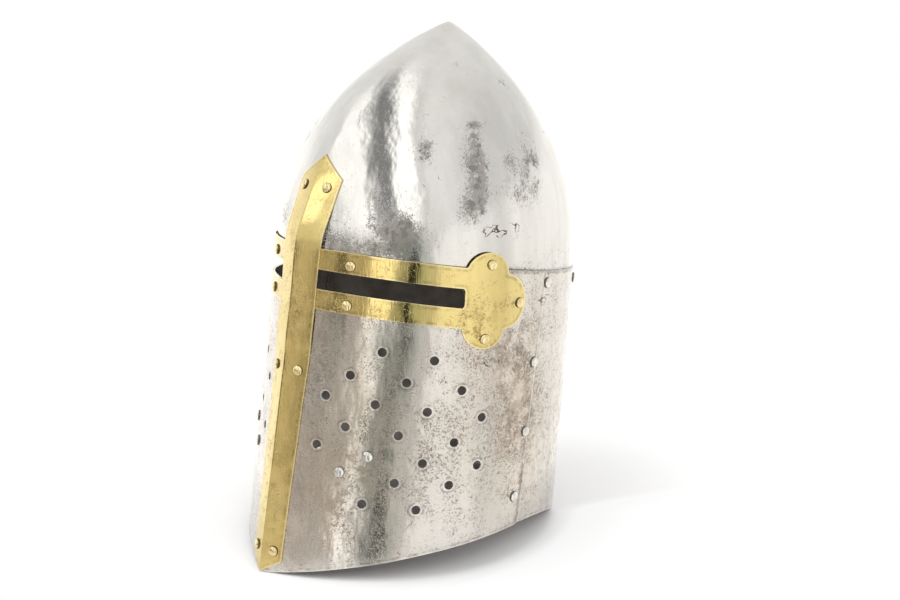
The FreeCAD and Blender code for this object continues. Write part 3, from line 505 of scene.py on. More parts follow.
def upright_edge(edge_y, z_from, z_to, n, layer):
    z = np.linspace(z_from, z_to, n)
    return np.stack([solve_u(1, edge_y(z), z, layer), z], -1)


def circle_hole(q, z, radius, layer, n=44):
    _, normal, tan_q, tan_z = (v[0] for v in frame_at(np.array([q]), np.array([z]), layer))
    side = unit(tan_q)
    up = np.cross(normal, side)
    angle = np.linspace(0, 2 * math.pi, n, endpoint=False)
    step = radius * (np.cos(angle)[:, None] * side + np.sin(angle)[:, None] * up)
    dq, dz = to_qz(step, 1.0, tan_q, tan_z)
    return np.stack([q + dq, z + dz], -1)


def mirrored(half):
    """Closed loop from a chain that starts and ends on q = 0."""
    other = half[::-1] * [-1, 1]
    return np.concatenate([half, other[np.abs(other[:, 0]) > 1e-9]])


def other_side(loop):
    return (loop * [-1, 1])[::-1]


def arch(radius):
    """Arched lower edge as z of y, its top at y -10, z 23.4."""
    return lambda y: np.maximum(
        0.0, 23.4 - radius + np.sqrt(np.maximum(radius * radius - np.square(y + 10), 0)))


# upper edge of the face and rear plates: y, z
TOP_POINTS = ((-175, 240.9), (-130, 233), (-50, 218.7), (-20, 216), (75, 198.3), (160, 182.5))
TOP_Y, TOP_Z = np.array(TOP_POINTS, float).T
top_edge = lambda y: np.interp(y, TOP_Y, TOP_Z)
seam_y = lambda z: -11.2 + 0.196 * z        # the face plate's rear edge
rear_edge_y = lambda z: seam_y(z) - 16.0    # the rear plate's front edge, lapped under it

# ============================================================ wear, as vertex values
# rows: q, z, reach round, reach up, amount
STEEL_PITS = (
    (0.55, 297, 7, 10, 0.9), (0.80, 292, 9, 17, 1.0), (0.795, 270, 10, 15, 0.95),
    (0.78, 256, 9, 8, 0.75), (0.98, 288, 10, 8, 0.55), (1.12, 285, 10, 24, 0.80),
    (1.00, 266, 14, 16, 0.62), (0.80, 312, 14, 2.5, 0.9), (0.44, 250, 14, 16, 0.5),
    (0.50, 239, 13, 13, 0.85), (0.36, 262, 5, 26, 0.6), (0.28, 232, 26, 12, 0.55),
    (0.15, 240, 12, 24, 0.45), (0.30, 330, 10, 8, 0.3), (0.75, 351, 4, 3, 0.6),
    (1.0, 236, 8, 6, 0.45), (-0.5, 300, 13, 12, 0.7), (-0.9, 268, 14, 22, 0.8),
    (-1.3, 300, 10, 16, 0.6), (-0.3, 245, 18, 16, 0.55), (-1.7, 240, 22, 14, 0.6),
    (1.6, 262, 20, 24, 0.6), (1.9, 310, 12, 12, 0.5), (-1.6, 330, 9, 9, 0.5))
LOW_PITS = (
    (0.95, 165, 20, 22, 0.3), (1.03, 110, 20, 46, 0.28), (0.2, 150, 12, 40, 0.3),
    (0.55, 100, 30, 40, 0.22), (-0.9, 130, 34, 50, 0.25), (1.6, 90, 30, 50, 0.3),
    (-1.7, 120, 36, 40, 0.2))
LOW_RUST = (
    (0.98, 120, 20, 50, 0.5), (0.35, 70, 24, 44, 0.5), (0.18, 130, 14, 44, 0.4),
    (0.9, 160, 20, 16, 0.3), (-0.8, 60, 40, 44, 0.45), (-1.3, 150, 36, 30, 0.4),
    (1.5, 60, 40, 40, 0.4), (0.72, 45, 26, 44, -0.45), (0.68, 150, 12, 30, -0.3))
BROW_RUST = ((0.25, 228, 26, 12, 0.12),)
# painted reflection: dull dark greenish streaks that run down from the left arm
STEEL_GREEN_REFLECTION = (
    (0.505, 232, 9, 13, 0.9), (0.47, 168, 11, 16, 0.75), (0.50, 140, 9, 34, 0.5),
    (0.42, 100, 8, 34, 0.3), (0.245, 165, 5, 40, 0.42), (0.30, 90, 9, 50, 0.30),
    (0.44, 70, 5, 40, 0.35))
CRACKS = (
    (0.915, 242, 17, 5.0, 1.0), (1.12, 186, 9, 5, 0.8), (-1.2, 240, 12, 5, 0.7),
    (0.86, 150, 14, 3, 0.8), (1.7, 128, 12, 6, 0.7))
# "BOTH" tables are laid on both sides alike
BRASS_STAIN_BOTH = ((0.80, 176, 14, 14, 0.7), (0.90, 196, 12, 14, 0.45), (0.3, 190, 26, 8, 0.35))
BRASS_STAIN = (
    (0.06, 186, 6, 26, 0.55), (0.05, 60, 8, 40, 0.4), (-0.06, 100, 8, 50, 0.5),
    (-0.05, 215, 8, 30, 0.5))
BRASS_GREEN_BOTH = ((0.52, 205, 14, 14, 0.8), (0.52, 176, 14, 10, 0.5), (0.99, 185, 8, 16, 0.35))


def spots(q, z, table, start=0.0):
    """A start value plus soft spots from a table."""
    total = start
    for q0, z0, reach_q, reach_z, amount in table:
        a, b = (q - q0) * SCALE / reach_q, (z - z0) / reach_z
        total = total + amount * np.exp(-(a * a + b * b))
    return total


def steel_wear(q, z):
    low = smooth(232, 205, z)  # the plates below the dome
    pit = spots(q, z, STEEL_PITS) + low * spots(q, z, LOW_PITS, 0.30)
    rust = low * spots(q, z, LOW_RUST, 0.38) + spots(q, z, BROW_RUST)
    # painted shade with some grime: dark lines on the dome and rear plate, just outside the edges
    # lapped over them, where the lapping sheet would shade the one below
    y = surf(np.abs(q), z, 0 * q)[..., 1]
    line_z = top_edge(y)
    seam = 0.62 * np.exp(-(np.maximum(z - line_z, 0) / 0.6) ** 2)
    seam = seam * (z > line_z - 1.5) * smooth(-42, -30, y)
    back = y - seam_y(z)
    upright = 0.75 * np.exp(-(np.maximum(back, 0) / 0.8) ** 2) * (back > -0.5) * (z < line_z)
    return {"pit": np.clip(pit, 0, 1.3), "rust": np.clip(rust, 0, 1.2),
            "green": np.clip(spots(q, z, STEEL_GREEN_REFLECTION), 0, 1),
            "crack": np.clip(spots(q, z, CRACKS), 0, 1),
            "seam": np.clip(np.maximum(seam, upright), 0, 1)}


def brass_wear(q, z):
    stain = spots(q, z, BRASS_STAIN, spots(np.abs(q), z, BRASS_STAIN_BOTH, 0.22))
    return {"stain": np.clip(stain, 0, 1.2),
            "green": np.clip(spots(np.abs(q), z, BRASS_GREEN_BOTH), 0, 1)}


# ============================================================ node helpers
class Graph:
    """Short calls for a node tree; each returns an output socket."""

    def __init__(self, tree):
        self.tree = tree

    def put(self, socket, value):
        if isinstance(value, bpy.types.NodeSocket):
            self.tree.links.new(value, socket)
        elif isinstance(value, tuple) and len(value) == 3 and socket.type == "RGBA":
            socket.default_value = (*value, 1)
        else:
            socket.default_value = value

    def node(self, kind, inputs=None, **settings):
        made = self.tree.nodes.new("ShaderNode" + kind)
        for key, value in settings.items():
            setattr(made, key, value)
        for key, value in (inputs or {}).items():
            self.put(made.inputs[key], value)
        return made

    def math(self, operation, a, b=0.0, c=None):
        inputs = {0: a, 1: b} if c is None else {0: a, 1: b, 2: c}
        return self.node("Math", inputs, operation=operation).outputs[0]

    def mul(self, a, b):
        return self.math("MULTIPLY", a, b)

    def add(self, a, b):
        return self.math("ADD", a, b)

    def sub(self, a, b):
        return self.math("SUBTRACT", a, b)

    def most(self, a, b):
        return self.math("MAXIMUM", a, b)

    def length(self, a, b):
        return self.math("SQRT", self.add(self.mul(a, a), self.mul(b, b)))

    def ramp(self, value, span, to=(0.0, 1.0)):
        """Smooth step over span, giving values in to."""
        return self.node("MapRange", {
            "Value": value, "From Min": span[0], "From Max": span[1],
            "To Min": to[0], "To Max": to[1]}, interpolation_type="SMOOTHSTEP").outputs["Result"]

    def mix(self, fac, a, b, mode="MIX"):
        return self.node("Mix", {0: fac, 6: a, 7: b}, data_type="RGBA",
                         blend_type=mode).outputs[2]

    def separate(self, vector):
        return self.node("SeparateXYZ", {0: vector}).outputs


class Material(Graph):
    """A Principled material whose colour and bumps are built up layer by layer."""

    def __init__(self, name, color):
        self.made = bpy.data.materials.new(name)
        self.made.use_nodes = True
        super().__init__(self.made.node_tree)
        self.shader = self.tree.nodes["Principled BSDF"]
        self.coords = self.node("TexCoord").outputs["Object"]
        self.color, self.normal = color, None

    def attr(self, name):
        return self.node("Attribute", attribute_name=name).outputs["Fac"]

    def stretched(self, stretch):
        return self.node("VectorMath", {0: self.coords, 1: stretch},
                         operation="MULTIPLY").outputs[0]

    def noise(self, scale, detail=3.0, rough=0.55, stretch=(1, 1, 1), distortion=0.0):
        return self.node("TexNoise", {
            "Scale": scale, "Detail": detail, "Roughness": rough, "Distortion": distortion,
            "Vector": self.stretched(stretch)}).outputs["Fac"]

    def voronoi(self, scale, feature="F1"):
        inputs = {"Scale": scale, "Vector": self.stretched((1, 1, 1))}
        return self.node("TexVoronoi", inputs, feature=feature).outputs["Distance"]

    def over(self, color, mask, amount=None):
        """Lays a colour over what is there, where the mask (times the amount) is high."""
        fac = mask if amount is None else self.mul(mask, amount)
        self.color = self.mix(fac, self.color, color)

    def bump(self, height, depth, strength=1.0):
        """Adds a bump of the given depth (m) on top of those before."""
        inputs = {"Height": height, "Distance": depth, "Strength": strength}
        if self.normal is not None:
            inputs["Normal"] = self.normal
        self.normal = self.node("Bump", inputs).outputs[0]

    def finish(self, rough, metal=0.0, specular=0.5):
        values = {"Base Color": self.color, "Roughness": rough, "Metallic": metal,
                  "Specular IOR Level": specular}
        if self.normal is not None:
            values["Normal"] = self.normal
        for key, value in values.items():
            self.put(self.shader.inputs[key], value)
        return self.made


def times(color, factors):
    """A colour multiplied by one factor or by three."""
    factors = factors if isinstance(factors, tuple) else (factors,) * 3
    return tuple(c * k for c, k in zip(color, factors))


# ============================================================ materials
def steel(name, plate, tint):
    """Worn polished steel. plate 0 is the brighter dome, 1 the duller plates below it."""
    m = Material(name, tint)
    pit, rust, green, edge, inner, cracked, seam = [
        m.attr(k) for k in ("pit", "rust", "green", "edge", "inner", "crack", "seam")]
    mottle = m.noise(scale=34, detail=4, rough=0.6)
    clump = m.noise(scale=72, detail=3, rough=0.6)
    fine = m.noise(scale=420, detail=9, rough=0.80)
    finer = m.noise(scale=900, detail=6, rough=0.78)
    streak = m.noise(scale=60, detail=4, rough=0.6, stretch=(1, 1, 0.08))
    long_streak_noise = m.noise(scale=26, detail=3, rough=0.5, stretch=(1, 1, 0.05), distortion=0.4)
    # corrosion specks of many sizes, closing up where the pit value is high
    patch = m.add(m.mul(clump, 0.6), m.mul(mottle, 0.4))
    drive = m.mul(pit, m.ramp(patch, span=(0.36, 0.57), to=(0.22, 1.0)))
    speck = m.ramp(m.add(fine, m.mul(drive, 0.215)), span=(0.640 - 0.004 * plate, 0.672))
    small = m.mul(m.ramp(m.add(finer, m.mul(drive, 0.225)),
                         span=(0.640 - 0.012 * plate, 0.675)), 0.85)
    zone = m.add(m.noise(scale=90, detail=3), m.mul(pit, 0.10))
    lone = m.mul(m.ramp(m.voronoi(scale=330), span=(0.13, 0.07)), m.ramp(zone, span=(0.60, 0.64)))
    dark = m.most(m.most(speck, small), m.mul(lone, 0.9))
    blotch = m.add(m.noise(scale=170, detail=7, rough=0.76), m.mul(drive, 0.06))
    blotch = m.mul(m.ramp(blotch, span=(0.575, 0.600)), m.ramp(drive, span=(0.42, 0.62)))
    # scratches: short stretches of thin wandering lines; cracks: wider ones
    wander = m.math("ABSOLUTE", m.sub(m.noise(scale=46, detail=3, rough=0.55), 0.5))
    zone = m.add(m.noise(scale=31, detail=3, rough=0.6, stretch=(1, 1.3, 1)),
                 m.mul(m.sub(m.most(rust, pit), 0.5), 0.05))
    scratch = m.mul(m.ramp(wander, span=(0.0052, 0.0022)), m.ramp(zone, span=(0.625, 0.66)))
    wander = m.noise(scale=88, detail=2, rough=0.5, stretch=(1, 1, 1.6))
    wander = m.math("ABSOLUTE", m.sub(wander, 0.5))
    crack = m.mul(m.ramp(wander, span=(0.021, 0.010)), m.ramp(cracked, span=(0.30, 0.60)))
    mark = m.most(m.mul(scratch, 0.7), crack)
    grain = m.noise(scale=120, detail=9, rough=0.80)
    rusty = m.add(grain, m.mul(m.sub(rust, 0.5), 0.14))
    rusty = m.mul(m.ramp(rusty, span=(0.515, 0.585)), rust)
    haze = m.noise(scale=16, detail=5, rough=0.62, stretch=(1, 1, 0.40))
    haze = m.mul(m.ramp(haze, span=(0.38, 0.62)), rust)
    grime = m.mul(m.ramp(edge, span=(0.16, 0.42)), m.ramp(edge, span=(0.90, 0.50)))

    m.over(times(tint, 0.90), m.ramp(streak, span=(0.3, 0.7)))
    m.over(times(tint, (0.86, 0.84, 0.80)), m.ramp(mottle, span=(0.42, 0.7)), 0.30)
    m.over(times(tint, (0.84, 0.72, 0.60)), haze, 0.62)
    m.over((0.33, 0.238, 0.172), rusty, 0.66)
    # painted reflection: dark greenish streaks laid where the green value is high, broken up by
    # long upright noise
    streak_breakup = m.add(long_streak_noise, m.mul(fine, 0.2))
    m.over((0.235, 0.262, 0.215), green, m.ramp(streak_breakup, span=(0.40, 0.70), to=(0.35, 0.95)))
    m.over((0.270, 0.300, 0.298), blotch, 0.85)
    m.over((0.235, 0.178, 0.132) if plate else (0.185, 0.165, 0.142), dark, 0.70 + 0.05 * plate)
    m.over((0.12, 0.095, 0.075), mark)
    # bright worn edges, grime just inside them, painted shade with some grime along the lapped
    # edges, and the dull inner face
    m.over((0.82, 0.81, 0.79), m.ramp(edge, span=(0.55, 0.95)),
           m.ramp(fine, span=(0.40, 0.56), to=(0.10, 0.60)))
    m.over((0.22, 0.18, 0.145), grime,
           m.ramp(m.noise(scale=140, detail=6, rough=0.7), span=(0.42, 0.58), to=(0.0, 0.55)))
    # painted shade: near-black lines just outside the lapped edges (seam value)
    m.over((0.055, 0.045, 0.038), seam,
           m.ramp(m.noise(scale=160, detail=4, rough=0.7), span=(0.36, 0.56), to=(0.62, 1.0)))
    m.over(m.mix(m.ramp(mottle, span=(0.35, 0.65)), (0.30, 0.275, 0.25), (0.19, 0.165, 0.145)),
           inner)

    rough = m.ramp(m.noise(scale=52, detail=4, rough=0.6), span=(0.3, 0.7),
                   to=(0.055 + 0.020 * plate, 0.100 + 0.035 * plate))
    rough = m.add(rough, m.mul(m.ramp(streak, span=(0.35, 0.7)), 0.02))
    corroded = m.mul(m.add(m.mul(rusty, 1.5), haze), 0.11)
    rough = m.add(rough, m.add(m.mul(dark, 0.30), corroded))
    dull = m.add(m.mul(green, 0.08), m.mul(blotch, 0.2))
    rough = m.add(rough, m.add(m.mul(inner, 0.38), dull))

    # bumps: hammer waves, brushing both ways, pits, grain
    m.bump(m.noise(scale=14, detail=2, rough=0.5, stretch=(1, 1, 0.7)),
           depth=0.0016 + 0.0004 * plate)
    m.bump(m.noise(scale=24, detail=4, rough=0.52, stretch=(1, 1, 0.40)),
           depth=0.00120 + 0.0002 * plate)
    upright = m.noise(scale=900, detail=2, rough=0.5, stretch=(1, 1, 0.02))
    upright = m.mul(m.ramp(upright, span=(0.52, 0.66)), 0.5)
    level = m.noise(scale=500, detail=2, rough=0.5, stretch=(0.05, 0.05, 1))
    level = m.ramp(level, span=(0.60, 0.70))
    m.bump(m.add(m.mul(upright, 0.5), m.mul(level, 0.4)), depth=0.00002)
    m.bump(m.mul(m.most(dark, mark), -1.0), depth=0.00011)
    m.bump(grain, depth=0.000012 + 0.000022 * plate)
    tarnish = m.most(m.mul(dark, 0.6), m.mul(rusty, 0.6))
    metal = m.mul(m.ramp(tarnish, span=(0, 1), to=(1.0, 0.55)),
                  m.ramp(inner, span=(0, 1), to=(1.0, 0.25)))
    return m.finish(rough=rough, metal=metal)


def brass(name, tint, tarnish):
    """Worn sheet brass; tarnish is the strength of its brown blotches."""
    m = Material(name, tint)
    stain, green, edge, inner = [m.attr(k) for k in ("stain", "green", "edge", "inner")]
    mottle = m.noise(scale=46, detail=4, rough=0.6)
    fine = m.noise(scale=380, detail=8, rough=0.82)
    finer = m.noise(scale=800, detail=6, rough=0.78)
    streak = m.noise(scale=90, detail=3, rough=0.6, stretch=(1, 1, 0.07))
    patch = m.add(m.mul(m.noise(scale=85, detail=3, rough=0.6), 0.6), m.mul(mottle, 0.4))
    drive = m.mul(stain, m.ramp(patch, span=(0.40, 0.60), to=(0.15, 1.0)))
    small = m.ramp(m.add(finer, m.mul(drive, 0.18)), span=(0.628, 0.68))
    speck = m.most(m.ramp(m.add(fine, m.mul(drive, 0.15)), span=(0.628, 0.668)),
                   m.mul(small, 0.7))
    blotch = m.mul(m.ramp(m.noise(scale=95, detail=7, rough=0.7), span=(0.50, 0.62)),
                   m.ramp(stain, span=(0.15, 0.8)))
    grime = m.mul(m.ramp(edge, span=(0.10, 0.35)), m.ramp(edge, span=(0.80, 0.50)))

    m.over(times(tint, (0.93, 0.91, 0.84)), m.ramp(streak, span=(0.3, 0.72)))
    m.over((0.62, 0.465, 0.17), m.ramp(mottle, span=(0.44, 0.72)), 0.4)
    m.over((0.46, 0.43, 0.185), green, m.ramp(fine, span=(0.40, 0.56), to=(0.3, 0.70)))
    m.over((0.48, 0.34, 0.125), blotch, tarnish)
    m.over((0.32, 0.21, 0.09), speck, 0.55)
    # bright edges, grime inside them, dull inner face
    m.over((0.90, 0.80, 0.52), m.ramp(edge, span=(0.62, 0.98)), 0.42)
    m.over((0.27, 0.20, 0.095), grime,
           m.ramp(m.noise(scale=150, detail=5, rough=0.7), span=(0.42, 0.60), to=(0.0, 0.45)))
    m.over((0.24, 0.17, 0.08), inner, 0.6)

    rough = m.ramp(m.noise(scale=70, detail=4, rough=0.6), span=(0.3, 0.7), to=(0.05, 0.095))
    rough = m.add(rough, m.add(m.mul(speck, 0.22), m.mul(blotch, 0.10)))
    rough = m.add(rough, m.mul(inner, 0.25))
    # bumps: waves, finer waves, upright brushing, specks, grain
    m.bump(m.noise(scale=20, detail=2, rough=0.5), depth=0.0011)
    m.bump(m.noise(scale=50, detail=3, rough=0.5, stretch=(1, 1, 0.35)), depth=0.00030)
    brushed = m.noise(scale=700, detail=2, rough=0.5, stretch=(1, 1, 0.03))
    m.bump(m.ramp(brushed, span=(0.54, 0.68)), depth=0.000015)
    m.bump(m.mul(m.add(speck, m.mul(blotch, 0.3)), -1.0), depth=0.00008)
    m.bump(fine, depth=0.000006)
    return m.finish(rough=rough, metal=1.0)


def small_metal(name, tint, dull, rough):
    """Small metal parts: bright crown, painted contact shade with some tarnish at the foot
    (attribute ring, 1 at the foot).
    """
    m = Material(name, tint)
    ring = m.attr("ring")
    fine = m.noise(scale=700, detail=3, rough=0.6)
    mottle = m.noise(scale=260, detail=3, rough=0.6)
    between = tuple(0.5 * (a + b) for a, b in zip(tint, dull))
    m.over(between, m.ramp(mottle, span=(0.35, 0.7), to=(0.0, 0.55)))
    # painted shade: the head darkens toward its foot, where it meets the sheet, with some tarnish
    foot = m.add(ring, m.mul(m.sub(mottle, 0.5), 0.20))
    m.over(dull, m.ramp(foot, span=(0.84, 0.97), to=(0.0, 0.97)))
    m.over(dull, m.ramp(fine, span=(0.62, 0.70)), 0.45)
    m.bump(m.noise(scale=260, detail=2, rough=0.5), depth=0.00012)
    m.bump(fine, depth=0.000012)
    return m.finish(rough=m.ramp(mottle, span=(0.3, 0.7), to=(rough, rough + 0.12)), metal=1.0)


def leather(name, tint, dark, worn):
    """Grained leather, lighter on its rims (attribute wear)."""
    m = Material(name, tint)
    grain = m.voronoi(scale=900, feature="DISTANCE_TO_EDGE")
    big = m.noise(scale=38, detail=4, rough=0.6)
    mid = m.noise(scale=170, detail=4, rough=0.6)
    crease = m.noise(scale=120, detail=3, rough=0.55, stretch=(1, 0.35, 1), distortion=0.6)
    crease = m.ramp(crease, span=(0.54, 0.62))
    m.over(dark, m.ramp(big, span=(0.32, 0.7)))
    m.over(times(tint, 1.5), m.ramp(mid, span=(0.45, 0.68)), 0.35)
    m.over(dark, m.ramp(grain, span=(0.10, 0.0)), 0.5)
    m.over(dark, crease, 0.35)
    m.over(worn, m.attr("wear"), m.ramp(mid, span=(0.35, 0.6), to=(0.25, 0.85)))
    m.bump(m.noise(scale=60, detail=3, rough=0.5), depth=0.0006, strength=0.8)
    m.bump(m.ramp(grain, span=(0.0, 0.12)), depth=0.00012)
    m.bump(m.mul(crease, -1.0), depth=0.00015)
    return m.finish(rough=m.ramp(mid, span=(0.3, 0.7), to=(0.42, 0.66)), specular=0.35)


def thread(name, tint):
    m = Material(name, tint)
    twist = m.noise(scale=1500, detail=2, rough=0.5)
    big = m.noise(scale=90, detail=3, rough=0.6)
    m.over(times(tint, 0.55), m.ramp(big, span=(0.3, 0.7)))
    m.over(times(tint, 0.35), m.ramp(twist, span=(0.5, 0.62), to=(0, 0.5)))
    m.bump(twist, depth=0.0002)
    return m.finish(rough=m.ramp(big, span=(0, 1), to=(0.7, 0.9)), specular=0.2)


STEEL_DOME = steel("steel_dome", plate=0.0, tint=(0.70, 0.685, 0.652))
STEEL_PLATE = steel("steel_plate", plate=1.0, tint=(0.675, 0.647, 0.605))
BRASS = brass("brass_sheet", tint=(0.735, 0.60, 0.262), tarnish=0.42)
BRASS_BAR = brass("brass_bar", tint=(0.74, 0.60, 0.262), tarnish=0.75)
BRASS_RIVET = small_metal("brass_rivet", tint=(0.90, 0.75, 0.40), dull=(0.11, 0.075, 0.035),
                          rough=0.08)
STEEL_RIVET = small_metal("steel_rivet", tint=(0.76, 0.745, 0.71), dull=(0.13, 0.115, 0.095),
                          rough=0.14)
STEEL_WASHER = small_metal("steel_washer", tint=(0.50, 0.48, 0.45), dull=(0.14, 0.12, 0.10),
                           rough=0.34)
BUCKLE = small_metal("buckle_brass", tint=(0.80, 0.60, 0.26), dull=(0.27, 0.19, 0.09),
                     rough=0.24)
LEATHER = leather("strap_leather", tint=(0.16, 0.085, 0.042), dark=(0.06, 0.032, 0.018),
                  worn=(0.30, 0.185, 0.105))
LINER = leather("liner_leather", tint=(0.235, 0.135, 0.07), dark=(0.11, 0.062, 0.034),
                worn=(0.36, 0.235, 0.14))
THONG = leather("thong_leather", tint=(0.30, 0.20, 0.12), dark=(0.14, 0.09, 0.055),
                worn=(0.45, 0.33, 0.2))
THREAD = thread("waxed_thread", tint=(0.52, 0.44, 0.31))

# ============================================================ sheets
SIDES = (("left", 1), ("right", -1))
# breathing holes of one side: u, z
BREATHS = (
    (0.447, 162.0), (0.651, 156.0), (0.328, 145.3), (0.552, 141.1), (0.765, 133.8),
    (0.231, 130.0), (0.440, 125.7), (0.640, 120.2), (0.851, 112.5), (0.329, 109.2),
    (0.539, 104.2), (0.750, 97.1), (0.214, 95.3), (0.638, 83.9), (0.844, 78.1),
    (0.540, 70.6), (0.742, 66.7), (0.425, 55.6), (0.628, 50.8))
BREATH_RADIUS = 3.15
SLOPE = 0.18            # fall of the slit and arm edges per mm of y
SLIT_LOW, SLIT_HIGH = 182.93, 196.54    # slit edges' z at y = 0
SLIT_X = 15.5           # where the slits begin beside the keel bar


def falling(z):
    """A line of z over y that has this z at y = 0."""
    return lambda y: z - SLOPE * y


def slit_loop(layer, back=0.0):
    """The left eye slit, from SLIT_X to its rounded end, which back moves rearward."""
    low, high = falling(SLIT_LOW), falling(SLIT_HIGH)
    u_low, z_low = start_on(low, SLIT_X, 200.0, layer)
    u_high, z_high = start_on(high, SLIT_X, 215.0, layer)
    ends = [(-48.7, low(-48.7)), (-47.5, low(-47.5) + 1.6),
            (-46.5, high(-46.5) - 1.6), (-47.3, high(-47.3))]
    u_end = [float(solve_u(1, y + back, z, layer)) for y, z in ends]
    return np.concatenate([
        along_y(low, u_low, u_end[0], layer, 70, z_low),
        [(u_end[1], ends[1][1]), (u_end[2], ends[2][1])],
        along_y(high, u_end[3], u_high, layer, 70, z_high)])


def plate_corners(edge_y, bottom, layer, z_low, z_high, passes):
    """(u, z) of an upright edge's lower and upper corner, from guesses of their z."""
    z_low = crossing(edge_y, bottom, z_low, passes)
    z_high = crossing(edge_y, top_edge, z_high, passes)
    u_low, u_high = (float(solve_u(1, edge_y(z), z, layer)) for z in (z_low, z_high))
    return (u_low, z_low), (u_high, z_high)


def build_face_plate():
    bottom = arch(442.0)
    (u_low, z_low), (u_high, z_high) = plate_corners(
        seam_y, bottom, face_out, z_low=23.4, z_high=205.0, passes=8)
    outline = mirrored(np.concatenate([
        along_y(bottom, 0, u_low, face_out, 140, 5),
        upright_edge(seam_y, z_low, z_high, 160, face_out)[1:],
        along_y(top_edge, u_high, 0, face_out, 160, 215)[1:]]))
    slit = slit_loop(face_out, back=1.9)
    loops = [outline, slit, other_side(slit)]
    for u, z in BREATHS:
        loops += [circle_hole(side * u, z, BREATH_RADIUS, face_out) for _, side in SIDES]
    plate = sheet("face_plate_steel", loops, face_out, face_in, steel_wear, STEEL_PLATE,
                  grid=2.6, fine_crease=True)
    place(plate, "helm", "face_plate")


def build_rear_plate():
    """Drawn about the rear middle, where its loop has q = 0."""
    bottom = arch(169.7)
    (u_low, z_low), (u_high, z_high) = plate_corners(
        rear_edge_y, bottom, rear_out, z_low=15.0, z_high=205.0, passes=10)
    half = np.concatenate([
        along_y(top_edge, 2.0, u_high, rear_out, 160, 190),
        upright_edge(rear_edge_y, z_high, z_low, 150, rear_out)[1:],
        along_y(bottom, u_low, 2.0, rear_out, 160, 5)[1:]])
    plate = sheet("rear_plate_steel", [mirrored(half - [2.0, 0])], rear_out, rear_in,
                  steel_wear, STEEL_PLATE, grid=2.9, shift=2.0)
    place(plate, "helm", "rear_plate")


ARM_LOW, ARM_HIGH = 168.43, 211.45      # arm edges' z at y = 0
ARM_X = 14.5                            # where the arms begin, under the keel bar
LOBE_JOIN_Y = -44.6                     # where the strip runs into the lobes
# lobes of the arm's end: y, z, radius
LOBES = ((-29.8, 213.2, 15.4), (-18.0, 193.0, 19.2), (-34.8, 176.8, 15.3))


def trefoil():
    """The arm's three-lobed end as (u, z), walked by angle about a point in its middle."""
    low, high = falling(ARM_LOW), falling(ARM_HIGH)
    fill = np.array([(-50, low(-50)), (-34, 164), (-18, 176), (-15, 200), (-30, 220),
                     (LOBE_JOIN_Y, high(LOBE_JOIN_Y))])
    center_y, center_z = -33.0, 194.0
    angle = np.radians(np.linspace(-128, 118, 420))
    radius = np.linspace(0, 46, 700)
    y = center_y + np.cos(angle)[:, None] * radius
    z = center_z + np.sin(angle)[:, None] * radius
    within = np.zeros(y.shape, bool)
    for lobe_y, lobe_z, lobe_radius in LOBES:
        within |= (y - lobe_y) ** 2 + (z - lobe_z) ** 2 <= lobe_radius * lobe_radius
    within |= inside(np.stack([y.ravel(), z.ravel()], -1), [fill]).reshape(y.shape)
    within |= (z >= low(y)) & (z <= high(y)) & (y < LOBE_JOIN_Y)
    edge = radius[np.maximum(np.argmax(~within, 1) - 1, 0)]
    y, z = center_y + np.cos(angle) * edge, center_z + np.sin(angle) * edge
    keep = (y > -50.5) & ((z < low(y) - 0.02) | (z > high(y) + 0.02) | (y > -40))
    y, z = y[keep], z[keep]
    for _ in range(2):  # smooths the steps of the radial search
        y[1:-1] = (y[:-2] + 2 * y[1:-1] + y[2:]) / 4
        z[1:-1] = (z[:-2] + 2 * z[1:-1] + z[2:]) / 4
    return np.stack([solve_u(1, y, z, arm_out), z], -1)


def arm_loop():
    """The left arm: lower strip, trefoil, upper strip, then back along the slit."""
    low, high = falling(ARM_LOW), falling(ARM_HIGH)
    lobes = trefoil()
    u_low, z_low = start_on(low, ARM_X, 190.0, arm_out)
    u_high, z_high = start_on(high, ARM_X, 232.0, arm_out)
    slit = slit_loop(arm_out)
    return np.concatenate([
        along_y(low, u_low, lobes[0, 0], arm_out, 80, z_low)[:-1], lobes,
        along_y(high, lobes[-1, 0], u_high, arm_out, 80, z_high)[1:],
        slit[::-1], [[u_low, slit[0, 1]]]])


def build_arms():
    loop = arm_loop()
    for tag, side in SIDES:
        arm = sheet("brass_arm_%s_sheet" % tag, [loop if side > 0 else other_side(loop)],
                    arm_out, arm_in, brass_wear, BRASS, grid=1.7, bevel=0.26, edge_step=0.9)
        place(arm, "helm", "brass_arm_" + tag)


# left half of the keel bar's outline: x, z
BAR_HALF = ((0, 0.15), (15.2, 9), (16, 60), (17.2, 115), (18.8, 160), (18.6, 200), (19.2, 230),
            (20, 255), (20.5, 276), (0, 291.5))


def build_keel_bar():
    chain = []
    for (xa, za), (xb, zb) in zip(BAR_HALF[:-1], BAR_HALF[1:]):
        n = max(int(math.hypot(xb - xa, zb - za) / 1.5), 3)
        chain += [(xa + (xb - xa) * i / n, za + (zb - za) * i / n) for i in range(n)]
    x, z = np.array(chain + [BAR_HALF[-1]]).T
    u = solve_u(0, x, z, bar_out, 0, 0.6)
    u[x < 1e-6] = 0.0
    bar = sheet("keel_bar_brass", [mirrored(np.stack([u, z], -1))], bar_out, bar_in, brass_wear,
                BRASS_BAR, grid=1.7, bevel=0.32, edge_step=1.0, crease=1.1, fine_crease=True)
    place(bar, "helm", "keel_bar")


DOME_ROWS, DOME_BEVEL = 130, 0.3


def dome_edge(y):
    """z of the dome's lower edge: down to the slits in front, lower behind them."""
    slit = 196.74 - SLOPE * y
    behind = np.interp(y, [-47.5, -20, 75, 160], [192.2, 187, 169.3, 153.5])
    k = smooth(-45.2, -43.4, y)
    return slit * (1 - k) + behind * k


